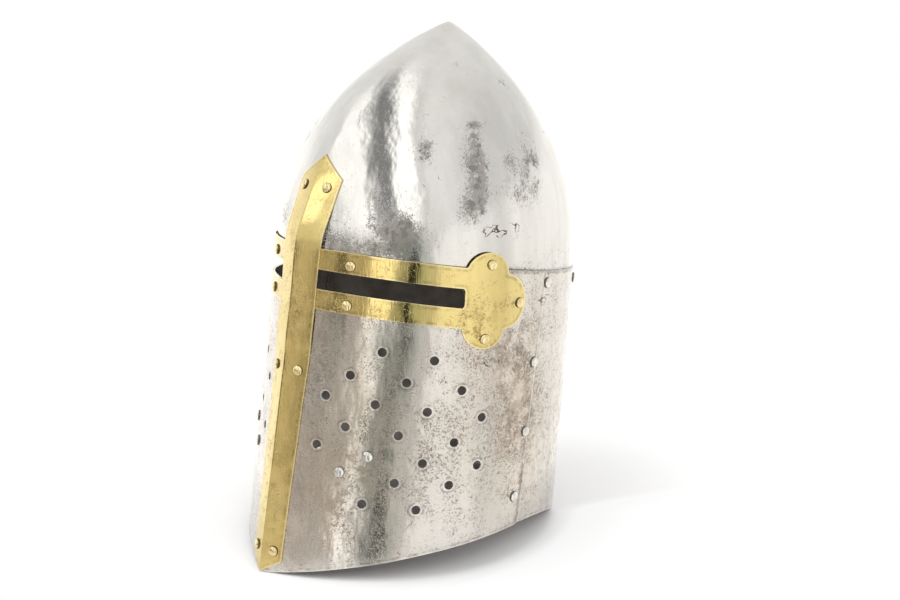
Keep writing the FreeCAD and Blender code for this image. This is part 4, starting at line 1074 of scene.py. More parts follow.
def dome_pos(q, z, layer):
    """The crease widens and the tip is rounded toward the apex."""
    p = at(q, z, layer, crease=2.2 + 26.0 * smooth(296, 345, z)).copy()
    tip_radius, slope = 1.1, 0.48
    a = slope * np.sqrt(p[..., 0] ** 2 + (p[..., 1] - APEX_Y) ** 2)
    p[..., 2] -= np.sqrt(a * a + tip_radius * tip_radius) - a
    return p


def dome_grid(layer, q, foot, top):
    """q, z, point and normal of a grid of columns that close up toward the apex."""
    rise = 1 - (1 - np.linspace(0, 1, DOME_ROWS)) ** 1.5
    z = foot[:, None] + (top - foot[:, None]) * rise[None]
    q = np.repeat(q[:, None], DOME_ROWS, 1)
    dq, dz = 0.004, 0.5
    tan_q = dome_pos(q + dq, z, layer) - dome_pos(q - dq, z, layer)
    tan_z = dome_pos(q, np.minimum(z + dz, top), layer) - dome_pos(q, z - dz, layer)
    n = unit(np.cross(tan_q, tan_z))
    n[:, -1] = [0, 0, 1]
    return q, z, dome_pos(q, z, layer), n


def build_dome():
    near = np.array([0.004, 0.009, 0.015, 0.022, 0.031, 0.042, 0.055])
    around = np.linspace(0.07, 2, 118)
    cols = np.sort(np.concatenate([[0.0], near, -near, around, -around[:-1]]))
    n = len(cols)
    foot = np.full(n, 190.0)
    for _ in range(10):
        foot = dome_edge(surf(np.abs(cols), foot, dome_out(np.abs(cols), foot))[:, 1])
    grids = [dome_grid(layer, cols, foot + DOME_BEVEL, apex_z(depth) - 0.001)
             for layer, depth in ((dome_out, DOME_OUT), (dome_in, DOME_IN))]
    (q_out, z_out, p_out, n_out), (q_in, z_in, p_in, n_in) = grids
    verts = [p_out.reshape(-1, 3), p_in.reshape(-1, 3)]
    normals = [n_out.reshape(-1, 3), -n_in.reshape(-1, 3)]
    size = n * DOME_ROWS
    out = np.arange(size).reshape(n, DOME_ROWS)
    inn = out + size
    faces = []
    for i in range(n):
        k = (i + 1) % n
        for j in range(DOME_ROWS - 2):
            faces.append((out[i, j], out[k, j], out[k, j + 1], out[i, j + 1]))
            faces.append((inn[i, j], inn[i, j + 1], inn[k, j + 1], inn[k, j]))
        # all columns share the first column's apex
        faces.append((out[i, -2], out[k, -2], out[0, -1]))
        faces.append((inn[i, -2], inn[0, -1], inn[k, -2]))
    down = unit(p_out[:, 0] - p_out[:, 1])
    rings, count = [out[:, 0]], 2 * size
    for base, up, steps, sign in ((p_out[:, 0], n_out[:, 0], RIM_STEPS, 1),
                                  (p_in[:, 0], n_in[:, 0], RIM_STEPS[::-1], -1)):
        for angle in np.radians(steps):
            turned = math.sin(angle) * down + sign * math.cos(angle) * up
            verts.append(base - sign * DOME_BEVEL * up + DOME_BEVEL * turned)
            normals.append(turned)
            rings.append(np.arange(count, count + n))
            count += n
    rings.append(inn[:, 0])
    for a, b in zip(rings[:-1], rings[1:]):
        faces += quads_across(a, b)
    used = np.unique([i for f in faces for i in f])  # leaves out the other columns' apexes
    remap = np.zeros(count, int)
    remap[used] = np.arange(len(used))
    faces = [tuple(remap[list(f)].tolist()) for f in faces]
    q = np.concatenate([q_out.ravel(), q_in.ravel()] + [cols] * 6)[used]
    z = np.concatenate([z_out.ravel(), z_in.ravel()] + [foot] * 6)[used]
    wear = steel_wear(q, z)
    wear["edge"] = np.exp(-(z - np.interp(q, cols, foot)) / 1.6)
    wear["inner"] = np.concatenate([np.zeros(size), np.ones(size + n * 6)])[used]
    dome = make_mesh("skull_dome_steel", np.concatenate(verts)[used], faces,
                     np.concatenate(normals)[used], wear, STEEL_DOME)
    place(dome, "helm", "skull_dome")


# ============================================================ rivets
# Peened heads outside, burred tails inside. Places are u, z.
KEEL_TOP, KEEL_LOWER = (0.098, 270.3), ((0.089, 145.5), (0.068, 16.3))
ARM_UPPER, ARM_LOWER = (0.288, 220.0), (0.284, 193.0)
ARM_TOP, ARM_MID, ARM_BOTTOM = (0.854, 220.0), (0.981, 190.2), (0.838, 168.8)
SEAM_TOP = (1.129, 197.9)
SEAM = ((1.076, 142.4), (1.048, 92.6), (1.009, 45.9))
BROW = ((1.486, 185.6), (1.78, 178.6))
CHIN = ((0.430, 89.4), (0.323, 77.4))
HEAD_HEIGHT, BRASS_RADIUS, STEEL_RADIUS = 2.1, 3.75, 4.0
HEAD_SEAT = 0.35        # how far a head is sunk
TAIL_RADIUS, TAIL_HEIGHT = 2.55, 0.85
# depths the tails stand on: a washer on the liner band or chin tab, or the sheet itself
ON_BAND, ON_DOME = BAND_IN - 0.32 - 0.8, DOME_IN - 0.1
ON_FACE, ON_REAR = FACE_IN - 0.1, REAR_IN - 0.1
ON_TAB = -0.76 - 2.2 - 0.32 - 0.8


def rivet_head(center, normal, radius, height, seed, flat=0.0, foot=0.25):
    """A slightly irregular domed head on a foot, standing on center along normal."""
    rng = np.random.RandomState(seed)
    side = unit(np.cross(normal, [0.3, 0.2, 1.0]))
    up = np.cross(normal, side)
    n, steps = 40, 11
    angle = np.linspace(0, 2 * math.pi, n, endpoint=False)
    oval, three = rng.uniform(0.01, 0.035), rng.uniform(0.006, 0.02)
    phase2, phase3 = rng.uniform(0, 6.28), rng.uniform(0, 6.28)
    shape = 1 + oval * np.cos(2 * angle + phase2) + three * np.cos(3 * angle + phase3)
    lean = rng.uniform(-0.14, 0.14, 2)
    rows = [(1.0, -HEAD_SEAT), (1.0, foot * 0.5)]  # share of the radius, height
    for i in range(1, steps + 1):
        turn = i / steps * math.pi / 2
        rows.append((max(math.cos(turn) ** (1.0 - 0.25 * flat), 0.0),
                     foot + (height - foot) * math.sin(turn) ** (1 + flat)))
    verts = []
    for share, h in rows[:-1]:
        lift = h / height if h > 0 else 0
        x = radius * share * shape * np.cos(angle) + lean[0] * lift
        y = radius * share * shape * np.sin(angle) + lean[1] * lift
        z = h + 0.05 * lift * np.cos(4 * angle + phase3) * share
        verts.append(center + x[:, None] * side + y[:, None] * up + z[:, None] * normal)
    verts.append([center + lean[0] * side + lean[1] * up + rows[-1][1] * normal])
    verts = np.concatenate(verts)
    rings = np.arange(len(verts) - 1).reshape(-1, n)
    faces = []
    for a, b in zip(rings[:-1], rings[1:]):
        faces += quads_along(a, b)
    last = rings[-1].tolist()
    faces += [(last[j], last[(j + 1) % n], len(verts) - 1) for j in range(n)]
    normals = vertex_normals(verts, faces, diagonals=False)
    faces.append(tuple(range(n))[::-1])
    # ring is 1 round the foot; the material paints contact shade there
    ring = np.concatenate([np.full(n, min(1.0, share)) for share, _ in rows[:-1]] + [[0.0]])
    return verts, faces, ring, normals


def rivet_group(name, node, places, radius, material, slot):
    """places: (q, z), outer layer, depth of the tail."""
    shapes = []
    for i, ((q, z), outer, depth) in enumerate(places):
        p, n = (v[0] for v in frame_at(np.array([q]), np.array([z]), outer)[:2])
        shapes.append(rivet_head(p, n, radius, HEAD_HEIGHT, 101 + 7 * i + len(name)))
        tail = p - n * (float(outer(np.array([abs(q)]), np.array([z]))[0]) - depth)
        verts, faces, ring, normals = rivet_head(
            tail, -n, TAIL_RADIUS, TAIL_HEIGHT, 701 + 5 * i + len(name), flat=0.6, foot=0.3)
        shapes.append((verts, faces, np.clip(ring + 0.25, 0, 1), normals))
    place(solid(name, shapes, material, "ring"), "helm", node)


def build_rivets():
    brass_look = (BRASS_RADIUS, BRASS_RIVET, "brass_rivet")
    steel_look = (STEEL_RADIUS, STEEL_RIVET, "steel_rivet")
    on = lambda side, uz: (side * uz[0], uz[1])
    keel = []
    for _, side in SIDES:
        keel.append((on(side, KEEL_TOP), bar_out, ON_DOME))
        keel += [(on(side, uz), bar_out, ON_FACE) for uz in KEEL_LOWER]
    rivet_group("keel_bar_rivet_heads", "keel_bar_rivets", keel, *brass_look)
    for tag, side in SIDES:
        arm = [(on(side, uz), arm_out, depth) for uz, depth in (
            (ARM_UPPER, ON_BAND), (ARM_LOWER, ON_FACE), (ARM_TOP, ON_BAND),
            (ARM_MID, ON_DOME), (ARM_BOTTOM, ON_FACE))]
        rivet_group("arm_rivet_heads_" + tag, "arm_rivets_" + tag, arm, *brass_look)
        seam = [(on(side, SEAM_TOP), face_out, ON_BAND)]
        seam += [(on(side, uz), face_out, ON_REAR) for uz in SEAM]
        rivet_group("seam_rivet_heads_" + tag, "seam_rivets_" + tag, seam, *steel_look)
        chin = [(on(side, uz), face_out, ON_TAB) for uz in CHIN]
        rivet_group("chin_rivet_heads_" + tag, "chin_rivets_" + tag, chin, *steel_look)
    brow = [(on(side, uz), rear_out, ON_BAND) for uz in BROW for _, side in SIDES]
    rivet_group("brow_rivet_heads", "brow_rivets", brow, *steel_look)


# ============================================================ leather and cord shapes
def slab(outer, inner):
    """Closed leather slab from two grids of points (rows, cols, 3), with a rounded rim."""
    rows, cols = outer.shape[:2]
    mid, half = (outer + inner) / 2, (outer - inner) / 2
    top = np.arange(rows * cols).reshape(rows, cols)
    low = top + rows * cols
    grid_faces = []
    for r in range(rows - 1):
        for c in range(cols - 1):
            grid_faces.append((top[r, c], top[r + 1, c], top[r + 1, c + 1], top[r, c + 1]))
            grid_faces.append((low[r, c], low[r, c + 1], low[r + 1, c + 1], low[r + 1, c]))
    around = np.array(
        [(0, c) for c in range(cols)] + [(r, cols - 1) for r in range(1, rows)]
        + [(rows - 1, c) for c in range(cols - 2, -1, -1)]
        + [(r, 0) for r in range(rows - 2, 0, -1)])
    rim = (around[:, 0], around[:, 1])
    p, h = mid[rim], half[rim]
    out = unit(np.cross(unit(np.roll(p, -1, 0) - np.roll(p, 1, 0)), unit(h)))
    if ((p - mid.reshape(-1, 3).mean(0)) * out).sum() < 0:
        out = -out
    verts, rings, count = [outer.reshape(-1, 3), inner.reshape(-1, 3)], [top[rim]], top.size * 2
    reach = np.linalg.norm(h, axis=1, keepdims=True)
    for angle in np.radians(RIM_ANGLES):
        verts.append(p + h * math.sin(angle) + out * math.cos(angle) * reach * 0.8)
        rings.append(np.arange(count, count + len(p)))
        count += len(p)
    rings.append(low[rim])
    rim_faces = []
    for a, b in zip(rings[:-1], rings[1:]):
        rim_faces += quads_along(a, b)
    verts = np.concatenate(verts)
    faces = (facing(grid_faces, verts, half[0, 0])
             + facing(rim_faces, verts, out[0] + unit(h[:1])[0]))
    wear = np.zeros(len(verts))
    wear[top.size * 2:] = 1.0
    wear[top[rim]], wear[low[rim]] = 0.8, 0.6
    return verts, faces, wear


def sleeve(outer, inner, axis, bulge, cross_first=False):
    """Closed leather loop from two grids whose rows are rings, with rounded ends.

    axis points from the first row to the last; bulge rounds the ends. cross_first is for
    rings that run the other way about the axis, with quads that start across the rows.
    """
    rows, cols = outer.shape[:2]
    out = np.arange(rows * cols).reshape(rows, cols)
    inn = out + rows * cols
    out_quads, in_quads = (quads_across, quads_along) if cross_first else (
        quads_along, quads_across)
    faces = []
    for r in range(rows - 1):
        pairs = zip(out_quads(out[r], out[r + 1]), in_quads(inn[r], inn[r + 1]))
        faces += [f for pair in pairs for f in pair]
    if cross_first:
        faces = flipped(faces)
    verts, count = [outer.reshape(-1, 3), inner.reshape(-1, 3)], 2 * rows * cols
    for row, sign in ((0, -1), (rows - 1, 1)):
        mid, half = (outer[row] + inner[row]) / 2, (outer[row] - inner[row]) / 2
        rings = [out[row]]
        for angle in np.radians(RIM_ANGLES):
            verts.append(mid + half * math.sin(angle)
                         + sign * np.array(axis) * math.cos(angle) * bulge)
            rings.append(np.arange(count, count + cols))
            count += cols
        rings.append(inn[row])
        for a, b in zip(rings[:-1], rings[1:]):
            faces += in_quads(a, b) if sign < 0 else flipped(in_quads(a, b))
    wear = np.zeros(count)
    wear[2 * rows * cols:] = 1.0
    return np.concatenate(verts), faces, wear


def tube(path, radius, sides=10, flat=1.0, closed=False, radii=None):
    """Cord along a path; flat is the share of the radius across it."""
    path = np.asarray(path, float)
    n = len(path)
    t = np.roll(path, -1, 0) - np.roll(path, 1, 0) if closed else np.gradient(path, axis=0)
    t = unit(t)
    a = unit(np.cross(t, np.array([0.21, 0.13, 0.97])))
    b = np.cross(t, a)
    angle = np.linspace(0, 2 * math.pi, sides, endpoint=False)
    radii = np.full(n, radius) if radii is None else radii
    ring = (np.cos(angle)[None, :, None] * a[:, None]
            + flat * np.sin(angle)[None, :, None] * b[:, None])
    verts = (path[:, None] + radii[:, None, None] * ring).reshape(-1, 3)
    index = np.arange(n * sides).reshape(n, sides)
    faces = []
    for i in range(n if closed else n - 1):
        faces += quads_across(index[i], index[(i + 1) % n])
    if not closed:
        first, last, end = n * sides, n * sides + 1, (n - 1) * sides
        verts = np.concatenate([verts, path[:1] - t[:1] * radii[0] * 0.5,
                                path[-1:] + t[-1:] * radii[-1] * 0.5])
        for j in range(sides):
            k = (j + 1) % sides
            faces += [(first, j, k), (last, end + k, end + j)]
    outward = verts[list(faces[0])].mean(0) - (path[0] + path[1]) / 2
    return verts, facing(faces, verts, outward), np.zeros(len(verts))


def stitches(points, normals, length, radius, lift, skip):
    """Short bowed cords along a line, each ending in the leather, left out where skip says."""
    s = path_lengths(points)
    pitch = length * 1.35
    bow = np.sin(np.linspace(0, math.pi, 6))
    made = []
    for i in range(int(s[-1] / pitch)):
        start = (i + 0.15) * pitch
        t = np.linspace(start, start + length, 6)
        p = np.stack([np.interp(t, s, points[:, j]) for j in range(3)], -1)
        if skip is not None and skip(p[3]):
            continue
        n = unit(np.stack([np.interp(t, s, normals[:, j]) for j in range(3)], -1))
        p = p + n * (-(radius * 1.1) + (radius * 1.1 + lift) * bow)[:, None]
        made.append(tube(p, radius, 7))
    return made


def sew(name, body, seams, radius, lift=0.12, skip=None):
    """One object of stitches; seams: points, normals, stitch length."""
    made = []
    for points, normals, length in seams:
        made += stitches(points, normals, length, radius, lift, skip)
    place(solid(name, made, THREAD), body)


# ============================================================ liner
BAND_COLS, BAND_ROWS, BAND_HEIGHT = 300, 11, 29.0
band_foot = lambda y: 196.4 - 0.202 * y     # z of the band's lower edge


def build_band():
    """A ring with soft puckers on its inner face."""
    q = np.linspace(-2, 2, BAND_COLS, endpoint=False)
    foot = np.full(BAND_COLS, 200.0)
    for _ in range(8):
        foot = band_foot(surf(np.abs(q), foot, band_out(np.abs(q), foot))[:, 1])
    outer, inner = [], []
    for j in range(BAND_ROWS):
        z = foot + 0.5 + BAND_HEIGHT * j / (BAND_ROWS - 1)
        pucker = 0.35 * np.sin(math.pi * j / (BAND_ROWS - 1)) * np.cos(q * math.pi * 6)
        outer.append(at(q, z, band_out, crease=4.0, extra=-0.06))
        inner.append(at(q, z, band_in, crease=4.0, extra=pucker))
    outer, inner = np.stack(outer, 0), np.stack(inner, 0)
    shape = sleeve(outer, inner, axis=(0, 0, 1), bulge=0.9)
    place(solid("liner_band_leather", [shape], LINER), "helm", "liner_band")
    seams = []
    for j in (1, BAND_ROWS - 2):
        row = inner[j]
        n = np.cross(np.array([0, 0, 1.0]), unit(np.roll(row, -1, 0) - np.roll(row, 1, 0)))
        outward = (n * (row - np.array([0, 10, 0]))).sum(1) > 0
        n = np.where(outward[:, None], -n, n)
        seams.append((np.concatenate([row, row[:1]]), np.concatenate([n, n[:1]]), 3.2))
    sew("liner_band_stitches", "helm", seams, radius=0.36)


def band_top_point(angle):
    """Point just inside the band, near its top, in a direction seen from above."""
    low, high = 0.0, 2.0
    side = 1 if math.cos(angle) >= 0 else -1
    want = math.atan2(math.sin(angle), abs(math.cos(angle)))
    for _ in range(26):
        u = 0.5 * (low + high)
        z = 215.0
        for _ in range(5):
            p = point(u, z, BAND_IN - 0.45)
            z = band_foot(p[1]) + 24.0
        if math.atan2(p[1] - 14.0, p[0]) < want:
            low = u
        else:
            high = u
    return np.array([p[0] * side, p[1], z])


LACE_CENTER = np.array([0, 22.0, 318.0])
PETAL_ANGLES = [math.radians(22.5 + 45.0 * i) for i in range(8)]
PETAL_ROWS, PETAL_COLS, PETAL_THICK = 26, 13, 1.8
PETAL_HALF = math.radians(20.5)


def petal_grids(i, middle):
    """Outer and inner grid of petal i, from the band up and over to the lace."""
    across = np.linspace(-1, 1, PETAL_COLS)
    knots = [-1, -0.5, 0, 0.5, 1]
    bases = np.array([band_top_point(middle + k * PETAL_HALF) for k in knots])
    bases = np.stack([np.interp(across, knots, bases[:, j]) for j in range(3)], -1)
    outer = np.zeros((PETAL_ROWS, PETAL_COLS, 3))
    inner = np.zeros_like(outer)
    for a in range(PETAL_ROWS):
        s = a / (PETAL_ROWS - 1)
        for b, k in enumerate(across):
            # the sides pull in a little between base and tip
            pulled = k * (1 - 0.10 * math.sin(math.pi * s))
            angle = middle + pulled * PETAL_HALF * (1.0 - 0.12 * s)
            base = bases[b]
            radius = 24.0 + (2.6 * k * k if s > 0.9 else 0) * (s - 0.9) * 10
            x, y = math.cos(angle), math.sin(angle)
            tip = LACE_CENTER + np.array([x, y, 0]) * radius
            bend = tip + (base - tip) * 0.86
            bend[2] = base[2] + (tip[2] - base[2]) * 0.78
            p = base * (1 - s) ** 2 + bend * 2 * s * (1 - s) + tip * s * s
            inward = unit(np.array([-x * (1 - 0.75 * s), -y * (1 - 0.75 * s), -s - 1e-6]))
            bow = math.sin(math.pi * s)
            sag = 1.1 * bow * math.cos(k * math.pi / 2) + 0.25 * math.sin(7 * s + i) * bow
            outer[a, b] = p + inward * sag
            inner[a, b] = outer[a, b] + inward * PETAL_THICK
    return outer, inner


def build_petals():
    for i, middle in enumerate(PETAL_ANGLES):
        outer, inner = petal_grids(i, middle)
        name = "liner_petal_%d" % (i + 1)
        place(solid(name + "_leather", [slab(outer, inner)], LINER), "helm",
              name)
        # stitches down both sides and the foot, on the inner face
        n = unit(inner - outer)
        seams = [(inner[1:, c], n[1:, c], 3.4) for c in (1, PETAL_COLS - 2)]
        seams.append((inner[1, 1:-1], n[1, 1:-1], 3.0))
        sew(name + "_stitches", "helm", seams, radius=0.34)


def build_lace():
    """A thong ring with a loop over each petal's tip."""
    a = np.linspace(0, 2 * math.pi, 160, endpoint=False)
    ring = LACE_CENTER + np.stack([18 * np.cos(a) + 0.5 * np.cos(8 * a),
                                   18 * np.sin(a) + 0.5 * np.sin(5 * a),
                                   0.9 * np.sin(8 * a)], -1)
    shapes = [tube(ring, 1.35, 12, closed=True, flat=0.75)]
    for middle in PETAL_ANGLES:
        c, s = math.cos(middle), math.sin(middle)
        loop = []
        for a in np.linspace(0, 2 * math.pi, 22, endpoint=False):
            r = 23.2 + 5.2 * math.cos(a)
            loop.append(LACE_CENTER + np.array([c * r, s * r, -0.9 + 2.6 * math.sin(a)])
                        + np.array([-s, c, 0]) * 0.7 * math.sin(a))
        shapes.append(tube(loop, 0.95, 9, closed=True))
    place(solid("liner_lace_thong", shapes, THONG), "helm", "liner_lace")


# ============================================================ chin straps
BAR_X, BAR_Z = -4.0, 15.5                   # the buckle's bar
STRAP_FRONT, STRAP_WIDTH = -113.0, 18.0     # the straps' front edge (y) and width
STRAP_MID = STRAP_FRONT + STRAP_WIDTH / 2
STRAP_Y = np.linspace(STRAP_FRONT + 0.5, STRAP_FRONT + STRAP_WIDTH - 0.5, 9)
LEG_X, LEG_TOP, BEND = 36.0, 71.4, 12.0     # the upright legs and the bend below them
FOLD = 1.2 * 1.4142 + 0.97                  # radius of the short strap's turn round the bar
LONG_Z, SHORT_Z = 17.95, BAR_Z + FOLD       # height of the level parts


def arc(x, z, radius, start, end, n):
    angles = [math.radians(start + (end - start) * i / n) for i in range(n + 1)]
    return [(x + radius * math.cos(a), z + radius * math.sin(a)) for a in angles]


# strap middle lines: x, z, from the top of each leg
LONG_PATH = [(LEG_X, LEG_TOP), (LEG_X, 56.0), (LEG_X, 42.0)]
LONG_PATH += arc(LEG_X - BEND, LONG_Z + BEND, BEND, 0, -90, 10)
LONG_PATH += [
    (20.0, LONG_Z), (14.5, LONG_Z), (11.6, 17.5), (8.8, 16.3), (5.6, 13.4), (2.6, 11.2),
    (-0.5, 10.6), (-4.0, 10.5), (-7.5, 10.95), (-10.5, 12.5), (-13.5, 13.45), (-18.0, 13.5),
    (-23.0, 13.5)]
SHORT_PATH = [(-LEG_X, LEG_TOP), (-LEG_X, 56.0), (-LEG_X, 42.0)]
SHORT_PATH += arc(-LEG_X + BEND, SHORT_Z + BEND, BEND, 180, 270, 10)
SHORT_PATH += [(-19.0, SHORT_Z), (-13.0, SHORT_Z), (-8.0, SHORT_Z)]
SHORT_PATH += arc(BAR_X, BAR_Z, FOLD, 90, -90, 12)
SHORT_PATH += [(-6.4, 13.45), (-8.8, 14.75), (-11.0, 15.75), (-13.6, 16.2), (-20.5, 16.25)]


def ribbon(path, thickness):
    """Both faces of a strap bent in the XZ plane, and its normals."""
    path = np.array(path, float)
    s = path_lengths(path)
    n = int(s[-1] / 1.3)
    t = np.linspace(0, s[-1], n)
    x, z = np.interp(t, s, path[:, 0]), np.interp(t, s, path[:, 1])
    for _ in range(3):
        x[1:-1] = (x[:-2] + 2 * x[1:-1] + x[2:]) / 4
        z[1:-1] = (z[:-2] + 2 * z[1:-1] + z[2:]) / 4
    tan_x, tan_z = np.gradient(x), np.gradient(z)
    length = np.hypot(tan_x, tan_z)
    nx, nz = -tan_z / length, tan_x / length

    def face(sign):
        rows = [np.stack([x + sign * nx * thickness / 2, np.full(n, y),
                          z + sign * nz * thickness / 2], -1) for y in STRAP_Y]
        return np.stack(rows, 1)
    return face(1), face(-1), np.stack([nx, 0 * nx, nz], -1)


def under_keeper(p):
    """Nothing is sewn where the keeper slides."""
    return -25.5 < p[0] < -11.0 and p[2] < 30


def build_straps():
    # tag, path, thickness, rows without stitches at the end, where to skip stitches
    for tag, path, thickness, bare, skip in (("long", LONG_PATH, 2.0, 6, None),
                                             ("short", SHORT_PATH, 1.8, 30, under_keeper)):
        up, down, n = ribbon(path, thickness)
        node = "chin_strap_" + tag
        place(solid(node + "_leather", [slab(up, down)], LEATHER), "chin_strap",
              node)
        seams = [(face[2:-bare, c], sign * n[2:-bare], 2.4)
                 for c in (1, -2) for face, sign in ((up, 1), (down, -1))]
        sew(node + "_stitches", "chin_strap", seams, radius=0.27, lift=0.08, skip=skip)


def tab_grid(side, depth, rows=34, cols=9, length=44.0, width=17.0):
    """Grid of a tab at a depth, running along the line of the two chin rivets."""
    (u_a, z_a), (u_b, z_b) = CHIN
    u_mid, z_mid = 0.5 * (u_a + u_b), 0.5 * (z_a + z_b)
    du = 1e-3
    tan_u = (point(u_mid + du, z_mid, 0) - point(u_mid - du, z_mid, 0)) / (2 * du)
    tan_z = point(u_mid, z_mid + 0.5, 0) - point(u_mid, z_mid - 0.5, 0)
    run = unit(point(u_b, z_b, 0) - point(u_a, z_a, 0))
    lateral = unit(np.cross(unit(np.cross(tan_u, tan_z)), run))
    grid = np.zeros((rows, cols, 3))
    for i in range(rows):
        a = -length / 2 + length * i / (rows - 1)
        for j in range(cols):
            b = (-0.5 + j / (cols - 1)) * width
            b *= 1 - 0.35 * max(0, (-a - 15) / 7) ** 2  # narrowed upper end
            step_u, step_z = to_qz(run * a + lateral * b, 1.0, tan_u, tan_z)
            p = point(u_mid + step_u, z_mid + step_z, depth)
            grid[i, j] = (p[0] * side, p[1], p[2])
    return grid


def build_link(tag, side, outer, n):
    """The soft link between the tab and the strap's leg, in its rest shape."""
    leg = np.array([[side * LEG_X, y, 72.0] for y in STRAP_Y])
    if np.linalg.norm(outer[-6, 0] - leg[0]) > np.linalg.norm(outer[-6, -1] - leg[0]):
        outer, n = outer[:, ::-1], n[:, ::-1]
    start = outer[-6] + n[-6] * 3.15
    leave = start + unit(outer[-1] - outer[-6]) * 9
    arrive = leg + np.array([0, 0, 9.0])
    rows = [bezier(start, leave, arrive, leg, t) for t in np.linspace(0, 1, 26)]
    mid = np.stack([leg + np.array([0, 0, -1.0]) * k for k in (7.0, 4.5, 2.2)] + rows[::-1], 0)
    half = unit(np.cross(np.gradient(mid, axis=0), np.gradient(mid, axis=1))) * 0.95
    link = solid("chin_link_%s_leather" % tag, [slab(mid + half, mid - half)], LEATHER)
    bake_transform(link)


def build_tabs():
    """Tabs inside the cheeks, with a link from each down to the strap."""
    for tag, side in SIDES:
        outer, inner = tab_grid(side, -0.86), tab_grid(side, -2.9)
        name = "chin_tab_" + tag
        place(solid(name + "_leather", [slab(outer, inner)], LEATHER), "helm",
              name)
        n = unit(inner - outer)
        seams = [(inner[2:-2, c], n[2:-2, c], 2.4) for c in (1, -2)]
        sew(name + "_stitches", "helm", seams, radius=0.27, lift=0.08)
        build_link(tag, side, outer, n)


# ============================================================ buckle and keeper
def rounded_rect(x0, x1, y0, y1, radius, n):
    corners = ((x1 - radius, y1 - radius, 0), (x0 + radius, y1 - radius, 90),
               (x0 + radius, y0 + radius, 180), (x1 - radius, y0 + radius, 270))
    return np.array([p for x, y, a in corners for p in arc(x, y, radius, a, a + 90, n)])


def planar_sides(path):
    """Outward directions of a closed counterclockwise plane path."""
    t = unit(np.roll(path, -1, 0) - np.roll(path, 1, 0))
    return np.stack([t[:, 1], -t[:, 0]], -1)


def ring_sweep(path, width, height, z, n=20, power=3.0):
    """Superellipse section swept round a closed level path at height z."""
    out = planar_sides(path)
    angle = np.linspace(0, 2 * math.pi, n, endpoint=False)
    soft = lambda v: np.sign(v) * np.abs(v) ** (2 / power)
    across, up = soft(np.cos(angle)) * width / 2, soft(np.sin(angle)) * height / 2
    verts = np.zeros((len(path), n, 3))
    verts[:, :, :2] = path[:, None] + out[:, None] * across[None, :, None]
    verts[:, :, 2] = z + up
    verts = verts.reshape(-1, 3)
    index = np.arange(len(verts)).reshape(-1, n)
    faces = []
    for a, b in zip(index, np.roll(index, -1, 0)):
        faces += quads_across(a, b)
    outward = verts[list(faces[0])].mean(0) - np.array([path[0, 0], path[0, 1], z])
    return verts, facing(faces, verts, outward), np.full(len(verts), 0.2)


def build_buckle():
    """A cast ring with softened edges, its bar, and the prong on the bar, which moves with the
    frame.
    """
    ring = rounded_rect(x0=-3.75, x1=14.5, y0=-115.5, y1=-92.5, radius=4.0, n=8)
    bar = [[BAR_X, y, BAR_Z] for y in np.linspace(-115.0, -93.0, 14)]
    shapes = [ring_sweep(ring, width=2.9, height=2.35, z=BAR_Z), tube(bar, 1.15, 16)]
    place(solid("buckle_frame_brass", shapes, BUCKLE, "ring"), "buckle",
          "buckle_frame")
    eye = [[BAR_X + 1.75 * math.cos(a), STRAP_MID, BAR_Z + 1.75 * math.sin(a)]
           for a in np.radians(np.linspace(-60, 250, 26))]
    shaft = [[x, STRAP_MID, 13.35 + (0.12 * math.sin((x + 3) / 17 * math.pi))]
             for x in np.linspace(-5.6, 14.4, 26)]
    radii = np.interp(np.linspace(0, 1, 26), [0, 0.7, 1], [0.95, 0.85, 0.42])
    shapes = [tube(eye, 0.62, 10, flat=1.7), tube(shaft, 0.9, 14, radii=radii, flat=0.72)]
    place(solid("buckle_prong_brass", shapes, BUCKLE, "ring"), "buckle",
          "buckle_prong")


def build_keeper():
    """A loop of leather round both straps."""
    profile = rounded_rect(x0=-114.25, x1=-93.75, y0=11.45, y1=20.1, radius=1.6, n=6)
    half = planar_sides(profile) * 0.72
    rows = np.linspace(-19.8, -13.2, 7)
    outer, inner = (np.array([[(x, y, z) for y, z in line] for x in rows])
                    for line in (profile + half, profile - half))
    shape = sleeve(outer, inner, axis=(1, 0, 0), bulge=0.5, cross_first=True)
    place(solid("strap_keeper_leather", [shape], LEATHER), "keeper",
          "strap_keeper")


def dress_washers():
    """The washers keep their CAD shape and get worn steel."""
    for name in ("liner_washers", "chin_washers"):
        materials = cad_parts[name].data.materials
        materials.clear()
        materials.append(STEEL_WASHER)


